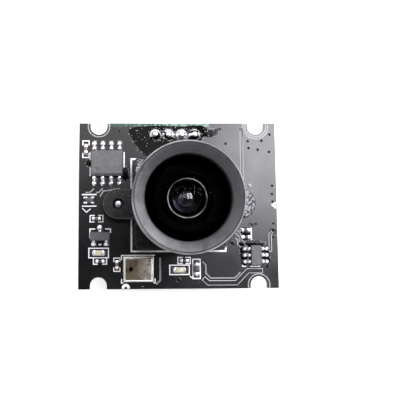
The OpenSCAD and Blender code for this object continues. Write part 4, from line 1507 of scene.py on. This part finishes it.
@dataclass
class Residue:
    """Flux that has run over the board elsewhere, a drop of glue and a scraped spot."""

    flux: tuple[Puddle, ...] = (
        Puddle((9.85, -7.5), (0.62, 1.75)), Puddle((13.15, -7.6), (0.6, 1.75)),
        Puddle((11.3, -5.95), (1.75, 0.6)), Puddle((9.5, -5.9), (0.5, 0.45)),
        Puddle((-8.0, 4.75), (0.62, 1.15), 0.035, 12.0), Puddle((10.15, -4.4), (0.75, 1.05)),
        Puddle((-13.5, 6.4), (0.45, 0.6), 0.035, 20.0))
    glue: tuple[Puddle, ...] = (Puddle((10.94, 2.85), (0.33, 0.4), 0.22),)
    scraped: tuple[Puddle, ...] = (
        Puddle((14.5, -0.1), (0.32, 0.22), 0.03), Puddle((14.68, 0.18), (0.18, 0.16), 0.03),
        Puddle((14.72, -0.42), (0.14, 0.2), 0.03))
    outline_faces: int = 32
    waves: tuple[int, ...] = (2, 3, 5, 8)   # swells round an outline
    wave_size: Xy = (0.04, 0.13)
    crumbs_each: int = 34
    crumb_reach: Xy = (0.85, 1.12)  # shares of the drop's half sizes between which they lie
    crumb_size: Xy = (0.025, 0.065)
    seed: int = 5

    def build(self, shop: Workshop) -> None:
        """Builds and dresses the pieces.

        Args:
            shop: finishes the pieces.
        """
        top = box_mm("circuit_board")[1].z
        chance = random.Random(self.seed)
        film, crumbs, glue, scraped = (bmesh.new() for _ in range(4))
        for drop in self.flux:
            self.puddle(film, drop, top, chance)
            self.crumbs(crumbs, drop, top, chance)
        for form, drops in ((glue, self.glue), (scraped, self.scraped)):
            for drop in drops:
                self.puddle(form, drop, top, chance)
        shop.finish("flux_patches", film, Slot.FLUX)
        # the crumbs are painted light grey as highlights
        shop.finish("flux_crumbs", crumbs, Slot.FLUX, look=Look.CRUST)
        shop.finish("glue_drop", glue, Slot.FLUX, look=Look.GLUE)
        shop.finish("scraped_spot", scraped, Slot.INK)

    def puddle(self, form: Form, drop: Puddle, top: float, chance: random.Random) -> None:
        """Adds a flat drop with an uneven outline.

        Args:
            form: the form that grows.
            drop: its place and sizes.
            top: height of the board's front face.
            chance: source of the unevenness.
        """
        part = bmesh.new()
        dome(part, (0.0, 0.0, 0.0), (1.0, 1.0, 1.0), 0.0, self.outline_faces)
        waves = [(k, chance.uniform(*self.wave_size) / math.sqrt(k), chance.uniform(0, math.tau))
                 for k in self.waves]
        for vert in part.verts:
            angle = math.atan2(vert.co.y, vert.co.x)
            swell = 1 + sum(size * math.sin(k * angle + start) for k, size, start in waves)
            vert.co.x *= swell
            vert.co.y *= swell
        place_part(form, part, stretch((*drop.at, top), (*drop.radii, drop.height), drop.turn))

    def crumbs(self, form: Form, drop: Puddle, top: float, chance: random.Random) -> None:
        """Scatters crumbs of dry flux round a drop.

        Args:
            form: the form that grows.
            drop: the drop.
            top: height of the board's front face.
            chance: source of the scatter.
        """
        for _ in range(self.crumbs_each):
            angle = chance.uniform(0, math.tau)
            reach = chance.uniform(*self.crumb_reach)
            at = (drop.at[0] + drop.radii[0] * reach * math.cos(angle),
                  drop.at[1] + drop.radii[1] * reach * math.sin(angle), top)
            crumb(form, at, chance.uniform(*self.crumb_size), chance)


@dataclass
class RearSide:
    """Parts behind the board."""

    pieces: tuple[tuple[str, Slot, float], ...] = (     # node, finish and width of the rounding
        ("controller_chip", Slot.EPOXY, 0.04), ("controller_pads", Slot.TIN, 0.03),
        ("crystal_base", Slot.TAN_CERAMIC, 0.04), ("crystal_can", Slot.NICKEL, 0.08),
        ("power_inductor", Slot.DARK_CERAMIC, 0.15), ("rear_capacitors", Slot.TAN_CERAMIC, 0.03),
        ("rear_capacitor_terminals", Slot.SOLDER, 0.05))

    def build(self, shop: Workshop) -> None:
        """Builds and dresses the pieces.

        Args:
            shop: finishes the pieces.
        """
        for node, slot, width in self.pieces:
            shop.rounded_node(node, slot, width)


# ---------------------------------------------------------------- studio


@dataclass
class ViewCamera:
    """Camera in front of the lens, a little to the left and below."""

    offset: Xyz = (-7.41, -5.399, 104.414)
    tilt_x: float = -0.12802
    tilt_y: float = 0.03346
    roll: float = 0.00558
    focal: float = 62.18
    sensor: float = 36.0
    shift: Xy = (0.12, -0.12)
    near: float = 5.0

    def build(self) -> None:
        """Adds the camera and makes it the scene's."""
        data = bpy.data.cameras.new("view_camera")
        data.sensor_width = self.sensor
        data.lens = self.focal
        data.shift_x, data.shift_y = self.shift
        data.clip_start = self.near * MM
        data.dof.use_dof = False
        camera = bpy.data.objects.new("view_camera", data)
        bpy.context.scene.collection.objects.link(camera)
        top = box_mm("circuit_board")[1].z
        turn = (Matrix.Rotation(self.roll, 3, "Z") @ Matrix.Rotation(self.tilt_x, 3, "X")
                @ Matrix.Rotation(self.tilt_y, 3, "Y")).transposed()
        place = Vector(self.offset) + Vector((0.0, 0.0, top))
        camera.matrix_world = Matrix.Translation(place * MM) @ turn.to_4x4()
        bpy.context.scene.camera = camera


@dataclass(frozen=True)
class Softbox:
    """Rectangular light. The slopes give where it stands as seen from the board."""

    name: str
    slope_x: Xy
    slope_y: Xy
    radiance: float
    tint: Rgb = (1.0, 1.0, 1.0)
    distance: float = 0.8

    def build(self) -> None:
        """Adds the light."""
        width = (self.slope_x[1] - self.slope_x[0]) * self.distance
        depth = (self.slope_y[1] - self.slope_y[0]) * self.distance
        data = bpy.data.lights.new(self.name, "AREA")
        data.shape = "RECTANGLE"
        data.size, data.size_y = width, depth
        data.energy = self.radiance * math.pi * width * depth
        data.color = self.tint
        light = bpy.data.objects.new(self.name, data)
        light.location = (sum(self.slope_x) / 2 * self.distance, sum(self.slope_y) / 2 * self.distance,
                          self.distance)
        bpy.context.scene.collection.objects.link(light)


@dataclass
class Studio:
    """Pale light table, surrounding light and two soft lights."""

    half: float = 1.5
    table_colour: Rgb = (0.92, 0.92, 0.92)
    table_roughness: float = 0.9
    table_glow: float = 0.5
    zenith: float = 0.08
    horizon: float = 1.0
    fade: Xy = (0.35, 0.97)         # heights on the sky between which the light fades
    lights: tuple[Softbox, ...] = (
        Softbox("key_light", (0.127, 0.95), (0.02, 0.85), 13.0, (0.99, 0.965, 1.02)),
        Softbox("edge_light", (-0.8, 0.1), (0.12, 0.7), 2.4, (1.0, 0.99, 1.0)))

    def build(self) -> None:
        """Adds the floor, the world and the lights."""
        self.floor()
        self.world()
        for light in self.lights:
            light.build()
        bpy.context.scene.view_settings.view_transform = "Standard"

    def floor(self) -> None:
        """Adds the pale table that the part stands on."""
        form = bmesh.new()
        bmesh.ops.create_grid(form, x_segments=1, y_segments=1, size=self.half)
        bmesh.ops.translate(form, vec=(0, 0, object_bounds()[0][2]), verts=form.verts)
        mesh = bpy.data.meshes.new("light_table")
        form.to_mesh(mesh)
        form.free()
        material = bpy.data.materials.new("table_white")
        material.use_nodes = True
        shader = material.node_tree.nodes["Principled BSDF"]
        for name, value in (("Base Color", (*self.table_colour, 1.0)), ("Roughness", self.table_roughness),
                            ("Specular IOR Level", 0.0), ("Emission Color", (1.0, 1.0, 1.0, 1.0)),
                            ("Emission Strength", self.table_glow)):
            shader.inputs[name].default_value = value
        mesh.materials.append(material)
        table = bpy.data.objects.new("light_table", mesh)
        bpy.context.scene.collection.objects.link(table)
        table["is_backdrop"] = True

    def world(self) -> None:
        """Lights the part from all round, weaker from straight above."""
        world = bpy.data.worlds.new("studio_air")
        world.use_nodes = True
        world.node_tree.nodes.clear()
        graph = Graph(world.node_tree)
        height = graph.split(graph.add("ShaderNodeTexCoord").outputs["Generated"])[2]
        strength = graph.ramp(height, *self.fade, self.horizon, self.zenith)
        back = graph.add("ShaderNodeBackground", {"Color": (1.0, 1.0, 1.0, 1.0), "Strength": strength})
        graph.add("ShaderNodeOutputWorld", {0: back.outputs[0]})
        bpy.context.scene.world = world


def main() -> None:
    """Builds the whole scene in order."""
    logging.basicConfig(level=logging.INFO, format="%(message)s", stream=sys.stdout)
    ViewCamera().build()
    Studio().build()
    shop = Workshop()
    shop.dress_frame()
    for assembly in (CircuitBoard(), LensHolder(), Lens(), LeadedChips(), SmallParts(), Microphone(), Leds(),
                     WireHeader(), Residue(), RearSide()):
        log.info("-- %s", type(assembly).__name__)
        assembly.build(shop)
    log.info("%d new pieces", shop.count)


if __name__ == "__main__":
    main()
